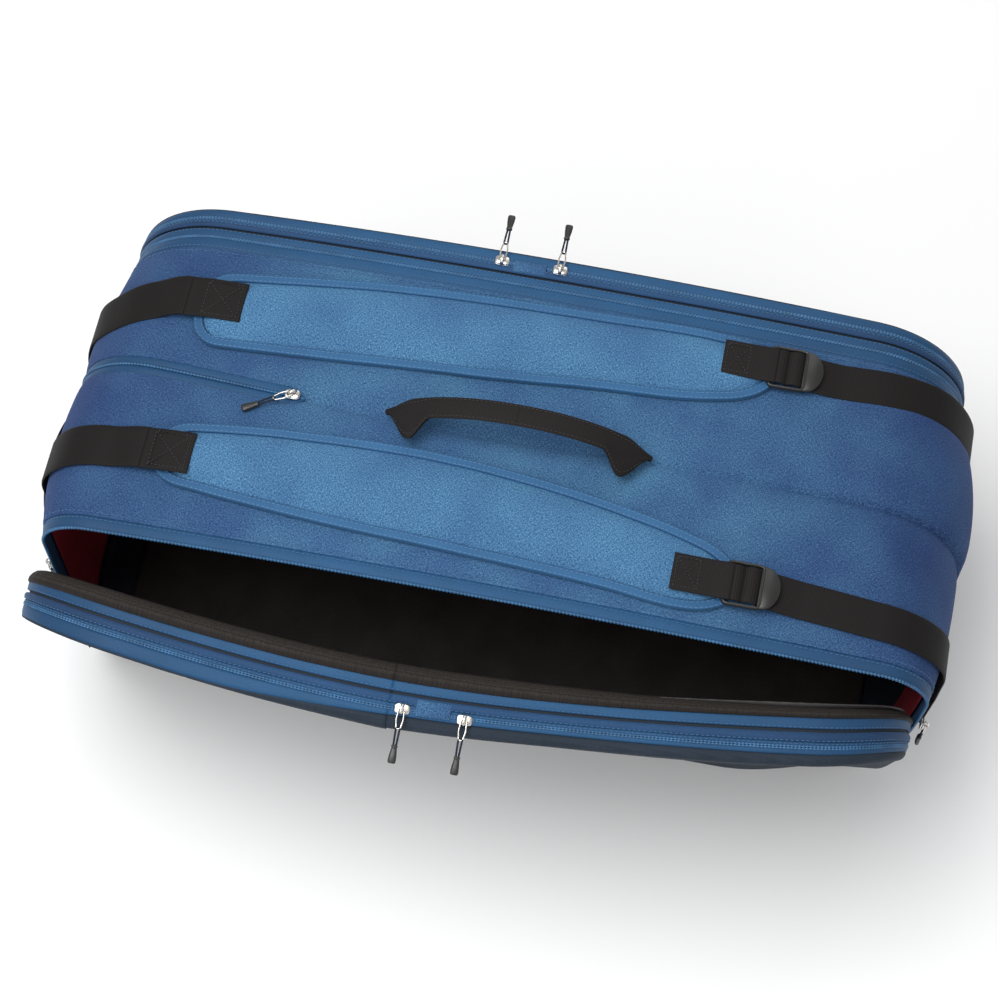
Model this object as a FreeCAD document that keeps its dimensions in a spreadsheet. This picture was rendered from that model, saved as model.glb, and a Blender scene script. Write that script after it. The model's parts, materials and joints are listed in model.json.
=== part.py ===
import math
import os

import FreeCAD
import Part
import Sketcher

# Racket tournament bag, millimetres. X runs along the bag (+X is the racket-head end),
# Y runs across it (+Y is the far compartment) and Z is up. The origin is the centre of
# the underside. The near compartment is unzipped and its flap sags open; the far one is shut.

Vector = FreeCAD.Vector
Rotation = FreeCAD.Rotation
Placement = FreeCAD.Placement

SIZES = {
    # main body
    "body_length": 780,
    "body_height": 330,
    "half_width": 146,
    "corner_radius": 95,
    "crown_radius": 5440,
    "end_radius": 757,
    "wall": 4,
    "base_height": 48,
    "base_foot_half_width": 125,
    "zip_tape_width": 12,
    "divider_thickness": 8,
    "lining_thickness": 1.5,
    # flaps, measured in their shut position: outward from the mouth and up from the floor
    "mouth_gap": 1,
    "hinge_depth": 2,
    "hinge_height": 50,
    "flap_bottom": 53,
    "flap_skin": 3.5,
    "rim_depth": 12,
    "band_depth": 22,
    "pocket_depth": 25.3,
    "pocket_foot_depth": 40,
    "pocket_top_depth": 33,
    "pocket_swell": 4,
    "foot_share": 0.25,
    "far_share": 0.8,
    "near_inset": 6.5,
    "near_opening": 16.2,
    # straps
    "webbing_width": 38,
    "webbing_thickness": 2,
    "sewn_gap": 0.3,
    "pad_gap": 0.5,
    "pad_thickness": 9,
    "pad_tail": -285,
    "pad_middle": -20,
    "pad_head": 195,
    "strap_tail_y": 74,
    "strap_middle_y": 78,
    "strap_head_y": 100,
    "webbing_end": 140,
    # carrying handle and end loop
    "handle_tail": -108,
    "handle_head": 117,
    "handle_rise": 38,
    "handle_width": 20,
    "loop_middle_y": -60,
    "loop_half_span": 55,
    "loop_height": 219,
    "loop_rise": 11,
    "roll_radius": 3.5,
    "band_thickness": 3,
    # buckles
    "buckle_bottom": 329.2,
    "buckle_thickness": 4.8,
    "buckle_half_width": 23,
    "buckle_length": 33,
    # pocket in the spine
    "spine_slider_x": -190,
    "spine_slider_y": 4,
    "spine_tape_near": -7,
    "spine_tape_far": 17,
    "pouch_tail": -330,
    "pouch_bottom": 150,
    "pouch_top": 300,
    "pouch_thickness": 9,
    # zip sliders
    "pocket_tail_slider_x": -42,
    "pocket_head_slider_x": 9,
    "main_slider_height": 215,
    "slider_lift": 0.5,
}

doc = FreeCAD.newDocument("racket_tournament_bag")
sheet = doc.addObject("Spreadsheet::Sheet", "Sizes")
for row, (alias, value) in enumerate(SIZES.items(), 1):
    sheet.set(f"A{row}", alias)
    sheet.set(f"B{row}", str(value))
    sheet.setAlias(f"B{row}", alias)
doc.recompute()

sub_parts = []


def value_of(text):
    """The number that an expression on the sheet works out to."""
    result = sheet.evalExpression(str(text))
    return float(getattr(result, "Value", result))


def size(alias):
    return float(getattr(sheet, alias))


def bind(feature, **expressions):
    for name, text in expressions.items():
        feature.setExpression(name, str(text))
    return feature


def keep(feature, label):
    """Names a finished sub-part, which is written to a file of that name."""
    feature.Label = label
    sub_parts.append(feature)
    return feature


def box(name, x, y, z):
    """A block between the low and high expression of each axis."""
    block = doc.addObject("Part::Box", name)
    for side, (low, high), axis in zip(("Length", "Width", "Height"), (x, y, z), "xyz"):
        block.setExpression(side, f"({high}) - ({low})")
        block.setExpression(f"Placement.Base.{axis}", str(low))
    return block


def cylinder(name, radius, length, base, direction):
    rod = doc.addObject("Part::Cylinder", name)
    rod.Placement = Placement(Vector(), Rotation(Vector(0, 0, 1), Vector(*direction)))
    bind(rod, Radius=radius, Height=length)
    for axis, text in zip("xyz", base):
        rod.setExpression(f"Placement.Base.{axis}", str(text))
    return rod


def combine(kind, name, *shapes):
    result = doc.addObject(f"Part::{kind}", name)
    if kind == "Cut":
        result.Base, result.Tool = shapes
    else:
        result.Shapes = list(shapes)
    return result


# ---------------------------------------------------------------- the bag's arched outline


full_arches = {}


def full_arch(inset):
    """The whole outline `inset` inside the bag's skin: crowned top, bulged and rounded ends."""
    if inset in full_arches:
        return full_arches[inset]
    name = f"arch_{len(full_arches)}"
    half = f"(Sizes.body_length / 2 - ({inset}))"
    top = "Sizes.body_height"
    wide = ("-1.5 * Sizes.half_width", "1.5 * Sizes.half_width")
    block = box(name + "_block", (f"-{half}", half), wide, ("-20", f"{top} + 20"))
    crown = cylinder(
        name + "_crown",
        f"Sizes.crown_radius - ({inset})",
        "4 * Sizes.half_width",
        ("0", "2 * Sizes.half_width", f"{top} - Sizes.crown_radius"),
        (0, -1, 0),
    )
    ends = [
        cylinder(
            f"{name}_end_{side}",
            f"Sizes.end_radius - ({inset})",
            f"{top} + 60",
            (f"{sign} * (Sizes.end_radius - Sizes.body_length / 2)", "0", "-30"),
            (0, 0, 1),
        )
        for side, sign in (("tail", 1), ("head", -1))
    ]
    body = combine("MultiCommon", name + "_square", block, crown, *ends)
    doc.recompute()
    radius = size("corner_radius") - value_of(inset)
    corner_height = size("body_height") - size("corner_radius")
    fillet = doc.addObject("Part::Fillet", name)
    fillet.Base = body
    fillet.Edges = [
        (number, radius, radius)
        for number, edge in enumerate(body.Shape.Edges, 1)
        if runs_across(edge) and edge.CenterOfMass.z > corner_height
    ]
    full_arches[inset] = fillet
    return fillet


def arch_block(name, inset, y, z_low):
    """The part of the bag's outline `inset` inside its skin, over a y range above z_low."""
    reach = ("-Sizes.body_length", "Sizes.body_length")
    window = box(name + "_slab", reach, y, (z_low, "2 * Sizes.body_height"))
    return combine("MultiCommon", name, full_arch(inset), window)


def runs_across(edge):
    """True for an edge that runs mainly along Y."""
    low, high = edge.BoundBox.YMin, edge.BoundBox.YMax
    return high - low > 0.9 * edge.Length


def arch_shell(name, outer, inner, y, z_low):
    """The layer of the arch between two insets; negative insets lie on top of the skin."""
    outside = arch_block(name + "_outer", outer, y, z_low)
    wide = (f"({y[0]}) - 5", f"({y[1]}) + 5")
    inside = arch_block(name + "_inner", inner, wide, f"({z_low}) - 10")
    return combine("Cut", name, outside, inside)


def strip(name, outer, inner, x, y, z_low):
    """A band of the layer between two insets, cut to an x range."""
    shell = arch_shell(name + "_shell", outer, inner, y, z_low)
    reach = ("-Sizes.half_width - 60", "Sizes.half_width + 60")
    window = box(name + "_window", x, reach, ("-20", "Sizes.body_height + 60"))
    return combine("MultiCommon", name, shell, window)


# ---------------------------------------------------------------- body shell and lining


def side_range(side, inner, outer):
    """The y range from inner to outer on the near (-1) or far (1) side."""
    if side < 0:
        return f"-({outer})", f"-({inner})"
    return inner, outer


def body_half(side, word):
    edge = "Sizes.half_width - Sizes.zip_tape_width"
    panel = arch_shell(
        word + "_arch", "0", "Sizes.wall", side_range(side, "0", edge), "Sizes.base_height"
    )
    keep(panel, word + "_top_panel")
    tape = arch_shell(
        word + "_tape",
        "0.5",
        "Sizes.wall - 0.5",
        side_range(side, edge, "Sizes.half_width"),
        "Sizes.base_height",
    )
    keep(tape, word + "_main_zip_tape")
    lining = arch_shell(
        word + "_inner_skin",
        "Sizes.wall",
        "Sizes.wall + Sizes.lining_thickness",
        side_range(side, "Sizes.divider_thickness / 2", edge),
        "Sizes.base_height",
    )
    keep(lining, word + "_lining")


def hull(name, top, foot, z_low):
    """A long block whose two sides lean in from `top` at the base's rim to `foot` on the floor."""
    block = doc.addObject("Part::Wedge", name)
    reach = size("body_length")
    height = size("base_height")
    block.Xmin, block.Xmax = -reach, reach
    block.X2min, block.X2max = -reach, reach
    block.Ymin, block.Ymax = z_low, height
    block.Zmin, block.Zmax = -foot, foot
    block.Z2min, block.Z2max = -top, top
    block.Placement = Placement(Vector(0, 0, 0), Rotation(Vector(1, 0, 0), 90))
    return block


def base_pan():
    reach = "(Sizes.half_width + Sizes.mouth_gap + Sizes.hinge_depth)"
    outside = arch_block("base_outside", "0", (f"-{reach}", reach), "0")
    lid = box(
        "base_lid",
        ("-Sizes.body_length", "Sizes.body_length"),
        ("-Sizes.body_length", "Sizes.body_length"),
        ("Sizes.base_height", "2 * Sizes.body_height"),
    )
    top, foot, wall = value_of(reach), size("base_foot_half_width"), size("wall")
    keel = combine("MultiCommon", "base_keel", outside, hull("base_hull", top, foot, 0))
    tub = combine("Cut", "base_tub", keel, lid)
    inner = f"({reach} - Sizes.wall)"
    hollow = arch_block("base_hollow", "Sizes.wall", (f"-{inner}", inner), "Sizes.wall")
    inside = hull("base_inside", top - wall, foot - wall, wall)
    cavity = combine("MultiCommon", "base_cavity", hollow, inside)
    keep(combine("Cut", "base_shell", tub, cavity), "base_pan")


def centre_divider():
    half = "Sizes.divider_thickness / 2"
    wall = arch_block("divider_wall", "Sizes.wall", (f"-{half}", half), "Sizes.wall")
    keep(wall, "centre_divider")


def spine_pocket():
    half = "Sizes.divider_thickness / 2"
    pouch = box(
        "pouch",
        ("Sizes.pouch_tail", "Sizes.spine_slider_x"),
        (half, f"{half} + Sizes.pouch_thickness"),
        ("Sizes.pouch_bottom", "Sizes.pouch_top"),
    )
    keep(pouch, "spine_pocket_pouch")
    tape = strip(
        "spine_tape",
        "-1.8",
        "0",
        ("-Sizes.body_length", "Sizes.spine_slider_x + 10"),
        ("Sizes.spine_tape_near", "Sizes.spine_tape_far"),
        "Sizes.body_height - Sizes.corner_radius",
    )
    keep(tape, "spine_zip_tape")


# ---------------------------------------------------------------- shoulder straps


def pin(sketch, kind, geometry, corner, text):
    """Holds a sketch point's distance from the origin to an expression."""
    number = sketch.addConstraint(
        Sketcher.Constraint(kind, -1, 1, geometry, corner, value_of(text))
    )
    sketch.setExpression(f"Constraints[{number}]", str(text))


def plan_prism(name, points):
    """A tall prism over a plan outline, whose corners are bound to the sheet."""
    sketch = doc.addObject("Sketcher::SketchObject", name + "_outline")
    corners = [Vector(value_of(x), value_of(y), 0) for x, y in points]
    for start, end in zip(corners, corners[1:] + corners[:1]):
        sketch.addGeometry(Part.LineSegment(start, end))
    for index, (x, y) in enumerate(points):
        sketch.addConstraint(
            Sketcher.Constraint("Coincident", index, 2, (index + 1) % len(points), 1)
        )
        pin(sketch, "DistanceX", index, 1, x)
        pin(sketch, "DistanceY", index, 1, y)
    prism = doc.addObject("Part::Extrusion", name)
    prism.Base = sketch
    prism.DirMode = "Custom"
    prism.Dir = Vector(0, 0, 1)
    prism.Solid = True
    bind(prism, LengthFwd="Sizes.body_height + 60")
    return prism


def strap_pad(side, word):
    """The padded blade of a shoulder strap, bowed and widest in the middle."""
    stations = [
        ("Sizes.pad_tail", "Sizes.strap_tail_y - 6", "22"),
        ("Sizes.pad_tail + 90", "Sizes.strap_tail_y - 4", "34"),
        ("Sizes.pad_middle", "Sizes.strap_middle_y", "38"),
        ("Sizes.pad_head - 70", "Sizes.strap_head_y - 12", "35"),
        ("Sizes.pad_head", "Sizes.strap_head_y - 4", "24"),
    ]
    inner = [(x, f"{side} * ({y} - {half})") for x, y, half in stations]
    outer = [(x, f"{side} * ({y} + {half})") for x, y, half in reversed(stations)]
    prism = plan_prism(word + "_pad_plan", inner + outer)
    layer = arch_shell(
        word + "_pad_layer",
        "-(Sizes.pad_gap + Sizes.pad_thickness)",
        "-Sizes.pad_gap",
        side_range(side, "20", "Sizes.half_width - 5"),
        "250",
    )
    keep(combine("MultiCommon", word + "_pad", layer, prism), word + "_strap_pad")


def webbing(side, name, centre, x, lift, z_low):
    """A length of webbing laid over the arch, `lift` above its skin."""
    half = "Sizes.webbing_width / 2"
    y = side_range(side, f"{centre} - {half}", f"{centre} + {half}")
    top = f"-({lift} + Sizes.webbing_thickness)"
    return strip(name, top, f"-({lift})", x, y, z_low)


def ladder_buckle(side, word):
    """A ladder-lock: a frame with a rounded tongue and two bars across its window."""
    middle = f"{side} * Sizes.strap_head_y"
    half = "Sizes.buckle_half_width"
    start = "Sizes.pad_head + 3"
    floor = "Sizes.buckle_bottom"
    plate = box(
        word + "_buckle_plate",
        (start, f"{start} + Sizes.buckle_length"),
        (f"{middle} - {half}", f"{middle} + {half}"),
        (floor, f"{floor} + Sizes.buckle_thickness"),
    )
    tongue = cylinder(
        word + "_buckle_tongue",
        half,
        "Sizes.buckle_thickness",
        (f"{start} + 25", middle, floor),
        (0, 0, 1),
    )
    solid = combine("MultiFuse", word + "_buckle_solid", plate, tongue)
    slots = [
        box(
            f"{word}_buckle_slot_{number}",
            (f"{start} + {along}", f"{start} + {along} + 6"),
            (f"{middle} - {half} + 3.5", f"{middle} + {half} - 3.5"),
            (f"{floor} - 5", f"{floor} + 2 * Sizes.buckle_thickness"),
        )
        for number, along in enumerate((6, 16, 26))
    ]
    windows = combine("MultiFuse", word + "_buckle_windows", *slots)
    keep(combine("Cut", word + "_ladder", solid, windows), word + "_strap_buckle")


def shoulder_strap(side, word):
    strap_pad(side, word)
    pad_top = "Sizes.pad_gap + Sizes.pad_thickness"
    patch = webbing(
        side,
        word + "_patch",
        "Sizes.strap_tail_y",
        ("Sizes.pad_tail - 2", "Sizes.pad_tail + 36"),
        pad_top,
        "250",
    )
    keep(patch, word + "_strap_patch")
    tail = webbing(
        side,
        word + "_tail",
        "Sizes.strap_tail_y",
        ("-420", "Sizes.pad_tail - 4"),
        "Sizes.sewn_gap",
        "Sizes.webbing_end",
    )
    keep(tail, word + "_tail_webbing")
    tab = webbing(
        side,
        word + "_tab",
        "Sizes.strap_head_y",
        ("Sizes.pad_head - 45", "Sizes.pad_head + 3"),
        pad_top,
        "250",
    )
    keep(tab, word + "_buckle_tab")
    ladder_buckle(side, word)
    head = webbing(
        side,
        word + "_head",
        "Sizes.strap_head_y",
        ("Sizes.pad_head + 17", "420"),
        "Sizes.sewn_gap",
        "Sizes.webbing_end",
    )
    keep(head, word + "_head_webbing")


# ---------------------------------------------------------------- handles


def origin_plane(body, role):
    return next(plane for plane in body.Origin.OriginFeatures if plane.Role == role)


def bowed_band(name, plane, start, end, foot, rise, length):
    """A bent band of even thickness on an origin plane, padded both ways to `length`."""
    body = doc.addObject("PartDesign::Body", name + "_body")
    sketch = body.newObject("Sketcher::SketchObject", name + "_profile")
    sketch.AttachmentSupport = [(origin_plane(body, plane), "")]
    sketch.MapMode = "FlatFace"
    middle = (value_of(start) + value_of(end)) / 2
    for index, grow in enumerate(("0", "Sizes.band_thickness")):
        half = f"((({end}) - ({start})) / 2 + {grow})"
        height = f"({rise} + {grow})"
        radius = f"({half} ^ 2 + {height} ^ 2) / (2 * {height})"
        reach, bow = value_of(half), value_of(radius)
        centre = Vector(middle, value_of(foot) + value_of(height) - bow, 0)
        turn = math.acos(reach / bow)
        circle = Part.Circle(centre, Vector(0, 0, 1), bow)
        sketch.addGeometry(Part.ArcOfCircle(circle, turn, math.pi - turn))
        pin(sketch, "DistanceX", index, 1, f"({end}) + {grow}")
        pin(sketch, "DistanceX", index, 2, f"({start}) - {grow}")
        pin(sketch, "DistanceY", index, 1, foot)
        pin(sketch, "DistanceY", index, 2, foot)
        number = sketch.addConstraint(Sketcher.Constraint("Radius", index, bow))
        sketch.setExpression(f"Constraints[{number}]", radius)
    inner, outer = sketch.Geometry[0], sketch.Geometry[1]
    sketch.addGeometry(Part.LineSegment(inner.StartPoint, outer.StartPoint))
    sketch.addGeometry(Part.LineSegment(inner.EndPoint, outer.EndPoint))
    for line, corner in ((2, 1), (3, 2)):
        sketch.addConstraint(Sketcher.Constraint("Coincident", line, 1, 0, corner))
        sketch.addConstraint(Sketcher.Constraint("Coincident", line, 2, 1, corner))
    pad = body.newObject("PartDesign::Pad", name + "_pad")
    pad.Profile = sketch
    pad.Midplane = True
    bind(pad, Length=length)
    doc.recompute()
    return body


def carry_handle():
    """Folded webbing that arches over the seam and turns on a rolled end at each foot."""
    axis_height = "(Sizes.body_height + 5)"
    band = bowed_band(
        "handle_band",
        "XZ_Plane",
        "Sizes.handle_tail + 3",
        "Sizes.handle_head - 3",
        axis_height,
        "Sizes.handle_rise",
        "Sizes.handle_width",
    )
    waist = doc.addObject("Part::Wedge", "handle_waist")
    flare = size("handle_width")
    narrow = size("roll_radius")
    waist.Xmin, waist.Xmax = size("handle_tail") - 10, size("handle_head") + 10
    waist.X2min, waist.X2max = waist.Xmin, waist.Xmax
    waist.Ymin, waist.Ymax = 0, 60
    waist.Zmin, waist.Zmax = -narrow, narrow
    waist.Z2min, waist.Z2max = -1.2 * flare, 1.2 * flare
    waist.Placement = Placement(
        Vector(0, 0, size("body_height") + 4), Rotation(Vector(1, 0, 0), 90)
    )
    tapered = combine("MultiCommon", "handle_tapered", band, waist)
    rolls = [
        cylinder(
            "handle_roll_" + foot,
            "Sizes.roll_radius",
            "12",
            (f"Sizes.handle_{foot} - 6", "0", axis_height),
            (1, 0, 0),
        )
        for foot in ("tail", "head")
    ]
    keep(combine("MultiFuse", "handle_solid", tapered, *rolls), "carry_handle_band")
    feet = [
        strip(
            "handle_foot_" + foot,
            "-1.1",
            "0",
            (f"Sizes.handle_{foot} - 20", f"Sizes.handle_{foot} + 20"),
            ("-9", "9"),
            "300",
        )
        for foot in ("tail", "head")
    ]
    keep(combine("MultiFuse", "handle_feet_pair", *feet), "carry_handle_feet")


def end_haul_loop():
    """A webbing grab loop across the tail end, sewn down at both ends."""
    bulge, middle = size("end_radius"), size("loop_middle_y")
    lean = math.asin(middle / bulge)
    sag = bulge - math.sqrt(bulge**2 - size("loop_half_span") ** 2)
    wall = size("body_length") / 2 - bulge + math.sqrt(bulge**2 - middle**2)
    band = bowed_band(
        "loop_band",
        "XY_Plane",
        "-Sizes.loop_half_span",
        "Sizes.loop_half_span",
        "0",
        "Sizes.loop_rise",
        "Sizes.webbing_width",
    )
    body_turn = Rotation(Vector(0, 0, 1), 90 - math.degrees(lean))
    centre = Vector(sag - wall - 1.5, middle, size("loop_height"))
    band.Placement = Placement(centre, body_turn)
    waist = doc.addObject("Part::Wedge", "loop_waist")
    reach = size("loop_half_span") + 10
    waist.Xmin, waist.Xmax = -reach, reach
    waist.X2min, waist.X2max = -reach, reach
    waist.Ymin, waist.Ymax = -2, 20
    waist.Zmin, waist.Zmax = -3, 3
    waist.Z2min, waist.Z2max = -50, 50
    waist.Placement = Placement(centre, body_turn)
    tapered = combine("MultiCommon", "loop_tapered", band, waist)
    keep(tapered, "end_haul_loop")


# ---------------------------------------------------------------- flaps and outer pockets


# X-Z points between which the near flap goes from held shut to hanging free
HEAD_HELD, HEAD_FREE = (359, 179), (251, 440)
TAIL_HELD, TAIL_FREE = (-510, 36), (-199, 426)


def smooth(share):
    share = max(0.0, min(1.0, share))
    return share * share * (3 - 2 * share)


def held_open(x, up, start, end):
    """0 at the start point, 1 at the end point and smooth between, in the X-Z plane."""
    run, climb = end[0] - start[0], end[1] - start[1]
    share = ((x - start[0]) * run + (up - start[1]) * climb) / (run**2 + climb**2)
    return smooth(share)


def opening_angle(side, x, up):
    """How far the unzipped near flap sags open there; the zip holds its two ends shut."""
    if side > 0:
        return 0.0
    head = held_open(x, up, HEAD_HELD, HEAD_FREE)
    tail = held_open(x, up, TAIL_HELD, TAIL_FREE)
    return math.radians(size("near_opening")) * min(head, tail)


def depth_share(side, up):
    """The flap's gusset is full depth at the crown and shallow at its foot."""
    rise = (up - size("flap_bottom")) / (size("body_height") - size("flap_bottom"))
    crown = size("far_share") if side > 0 else 1.0
    return size("foot_share") + (crown - size("foot_share")) * rise


def flap_point(side, x, out, up):
    """The place of a point of the flap, given outward and upward in its shut position."""
    angle = opening_angle(side, x, up)
    reach = out * depth_share(side, up) - size("hinge_depth")
    rise = up - size("hinge_height")
    hinge = size("half_width") + size("mouth_gap") + size("hinge_depth")
    y = hinge + reach * math.cos(angle) + rise * math.sin(angle)
    z = size("hinge_height") + rise * math.cos(angle) - reach * math.sin(angle)
    return Vector(x, side * y, z)


def flap_stations(inset):
    """Pairs of x and top height along the arch at the mouth, `inset` inside the skin."""
    bulge = size("end_radius")
    half = size("body_length") / 2 - bulge + math.sqrt(bulge**2 - size("half_width") ** 2)
    crown, corner = size("crown_radius"), size("corner_radius")
    centre_x = half - corner
    base = size("body_height") - crown
    centre_z = base + math.sqrt((crown - corner) ** 2 - centre_x**2)
    turns = [math.radians(turn) for turn in (0, 30, 60, 90)]
    head = [
        (
            centre_x + (corner - inset) * math.sin(turn),
            centre_z + (corner - inset) * math.cos(turn),
        )
        for turn in turns
    ]
    middle = [
        (x, base + math.sqrt((crown - inset) ** 2 - x**2)) for x in (-150, 0, 150)
    ]
    tail = [(-x, top) for x, top in reversed(head)]
    return tail + middle + head


def flap_block(side, inset, out_low, out_foot, out_top, up_low, swell=0.0):
    """A solid along the flap from depth out_low to a far face that leans and may swell."""
    half = size("body_length") / 2
    sections = []
    for x, top in flap_stations(inset):
        bulge = swell * (1 - (x / half) ** 2)
        corners = [
            flap_point(side, x, out_low, up_low),
            flap_point(side, x, out_foot + bulge, up_low),
            flap_point(side, x, out_top + bulge, top),
            flap_point(side, x, out_low, top),
        ]
        sections.append(Part.makePolygon(corners + corners[:1]))
    return Part.makeLoft(sections, True, True)


def flap_feature(label, shape):
    feature = doc.addObject("Part::Feature", label)
    feature.Shape = shape
    keep(feature, label)


def flap_arch(side, inset, out_low, out_high, skin):
    """The gusset between two depths: an arch that is open towards the hinge."""
    bottom = size("flap_bottom")
    outer = flap_block(side, inset, out_low, out_high, out_high, bottom)
    wide = out_high + 1
    inner = flap_block(side, inset + skin, out_low - 1, wide, wide, bottom - 2)
    return outer.cut(inner)


def pocket_tray(side, inset):
    """The outer pocket's front: a shallow tray, open towards the flap, swollen outwards."""
    bottom, skin = size("flap_bottom"), size("flap_skin")
    start, swell = size("pocket_depth"), size("pocket_swell")
    foot, top = size("pocket_foot_depth"), size("pocket_top_depth")
    outer = flap_block(side, inset, start, foot, top, bottom, swell)
    hollow = flap_block(
        side, inset + skin, start - 1, foot - skin, top - skin, bottom + skin, swell
    )
    return outer.cut(hollow)


def pocket_tab(side, inset):
    """The fabric tab sewn across the pocket zip between its two sliders."""
    crown = size("crown_radius")
    base = size("body_height") - crown
    sections = []
    for x in (size("pocket_tail_slider_x") + 10, size("pocket_head_slider_x") - 11):
        top = base + math.sqrt((crown - inset) ** 2 - x**2)
        corners = [
            flap_point(side, x, out, top + lift)
            for out, lift in ((13, 0.3), (24, 0.3), (24, 1.3), (13, 1.3))
        ]
        sections.append(Part.makePolygon(corners + corners[:1]))
    return Part.makeLoft(sections, True, True)


def flap(side, word, inset):
    skin = size("flap_skin")
    rim, band = size("rim_depth"), size("band_depth")
    panel = flap_block(side, inset + skin, 8, 11, 11, size("flap_bottom"))
    flap_feature(word + "_flap_panel", panel)
    flap_feature(word + "_flap_rim", flap_arch(side, inset, 0, rim, skin))
    flap_feature(word + "_flap_band", flap_arch(side, inset, rim, band, skin))
    zipper = flap_arch(side, inset + 0.5, band + 0.5, size("pocket_depth") - 0.3, skin - 1)
    flap_feature(word + "_pocket_zip", zipper)
    flap_feature(word + "_pocket_panel", pocket_tray(side, inset))
    flap_feature(word + "_pocket_tab", pocket_tab(side, inset))


# ---------------------------------------------------------------- zip sliders and pulls


def local_box(x, y, z):
    return Part.makeBox(
        x[1] - x[0], y[1] - y[0], z[1] - z[0], Vector(x[0], y[0], z[0])
    )


def slider_solid(zip_turn):
    """A slider with a bridge over it. Local X is the way the pull lies, Z is outward."""
    shell = local_box((-6.5, 6.5), (-4.5, 4.5), (0.3, 3.3))
    shell = shell.makeFillet(2, [edge for edge in shell.Edges if is_upright(edge)])
    shell.rotate(Vector(), Vector(0, 0, 1), zip_turn)
    bridge = local_box((-3.8, 3.8), (-1.5, 1.5), (3, 7.2))
    eye = local_box((-2.2, 2.2), (-2, 2), (3.7, 6))
    return shell.fuse(bridge.cut(eye)).removeSplitter()


def is_upright(edge):
    return edge.BoundBox.ZLength > 0.9 * edge.Length


def link_solid():
    """The metal loop that hangs in the slider's bridge."""
    ring = local_box((-0.7, 17), (-3.9, 3.9), (4.15, 5.55))
    return ring.cut(local_box((0.7, 15.6), (-2.5, 2.5), (4, 6)))


def tip_solid():
    """Two strands of cord from the link to the moulded tip."""
    strands = [
        Part.makeCylinder(0.9, 14, Vector(17.1, y, 4.85), Vector(1, 0, 0))
        for y in (-1.4, 1.4)
    ]
    tip = local_box((30, 44), (-3.4, 3.4), (3, 6.7))
    tip = tip.makeFillet(1.4, tip.Edges)
    return strands[0].fuse([strands[1], tip])


def place_frame(origin, pull, outward):
    """The placement that takes local X to the pull's direction and Z outward."""
    across = Vector(*outward).cross(Vector(*pull))
    turn = Rotation(Vector(*pull), across, Vector(*outward), "ZXY")
    return Placement(Vector(*origin), turn)


def placed_feature(label, shape, placement):
    feature = doc.addObject("Part::Feature", label)
    feature.Shape = shape
    feature.Placement = placement
    keep(feature, label)


def zip_slider(label, origin, pull, outward, zip_turn, split_pull):
    placement = place_frame(origin, pull, outward)
    placed_feature(label + "_slider", slider_solid(zip_turn), placement)
    if split_pull:
        placed_feature(label + "_pull_link", link_solid(), placement)
        placed_feature(label + "_pull_tip", tip_solid(), placement)
    else:
        whole = Part.makeCompound([link_solid(), tip_solid()])
        placed_feature(label + "_pull", whole, placement)


def gusset_point(side, x, out, inset):
    """A point on the gusset's outer face, on the straight run between two stations."""
    stations = flap_stations(inset)
    for (x_low, top_low), (x_high, top_high) in zip(stations, stations[1:]):
        if x_low <= x <= x_high:
            low = flap_point(side, x_low, out, top_low)
            high = flap_point(side, x_high, out, top_high)
            return low + (high - low) * (x - x_low) / (x_high - x_low)
    raise ValueError("that x is past the end of the flap")


def pocket_sliders(side, word, inset):
    """Two sliders on each pocket zip, with their pulls lying outward over the edge."""
    angle = opening_angle(side, 0, size("body_height"))
    pull = (0, side * math.cos(angle), -math.sin(angle))
    outward = (0, side * math.sin(angle), math.cos(angle))
    zip_line = (size("band_depth") + size("pocket_depth")) / 2
    for end in ("tail", "head"):
        origin = gusset_point(side, size(f"pocket_{end}_slider_x"), zip_line, inset)
        zip_slider(f"{word}_pocket_{end}", origin, pull, outward, 90, True)


def main_zip_sliders(side, word):
    """Sliders of a compartment zip, run down onto the two ends of the bag."""
    y = side * (size("half_width") - size("zip_tape_width") / 2)
    bulge = size("end_radius")
    x = size("body_length") / 2 - bulge + math.sqrt(bulge**2 - y**2)
    for end, sign in (("tail", -1), ("head", 1)):
        origin = (sign * (x + size("slider_lift")), y, size("main_slider_height"))
        zip_slider(f"{word}_main_{end}", origin, (0, 0, -1), (sign, 0, 0), 0, False)


def spine_slider():
    lie = math.radians(210)
    pull = (math.cos(lie), math.sin(lie), 0)
    skin = size("crown_radius") + 1.8
    x, y = size("spine_slider_x"), size("spine_slider_y")
    slope = (45 - x) / skin
    top = size("body_height") - size("crown_radius") + math.sqrt(skin**2 - x**2)
    outward = (-math.sin(slope), 0, math.cos(slope))
    zip_slider("spine", (x, y, top), pull, outward, -210, True)


# ---------------------------------------------------------------- assembly

for side_sign, side_word in ((-1, "near"), (1, "far")):
    body_half(side_sign, side_word)
    shoulder_strap(side_sign, side_word)
    flap_inset = size("near_inset") if side_sign < 0 else 0.0
    flap(side_sign, side_word, flap_inset)
    pocket_sliders(side_sign, side_word, flap_inset)
    main_zip_sliders(side_sign, side_word)
base_pan()
centre_divider()
spine_pocket()
carry_handle()
end_haul_loop()
spine_slider()

doc.recompute()
for item in doc.Objects:
    if "Invalid" in item.State or "Error" in item.State:
        raise RuntimeError(f"{item.Name} failed: {item.State}")
for item in sub_parts:
    if item.Shape.isNull() or not item.Shape.isValid() or not item.Shape.Solids:
        raise RuntimeError(f"{item.Label} has no valid solid")
os.makedirs("parts", exist_ok=True)
for item in sub_parts:
    item.Shape.exportStep(f"parts/{item.Label}.step")
    print(item.Label, round(item.Shape.Volume), len(item.Shape.Solids))
print(len(sub_parts), "sub-parts")
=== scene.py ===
"""Racket tournament bag: its cloth, webbing, zips and buckles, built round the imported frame."""
import json
import math

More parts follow.
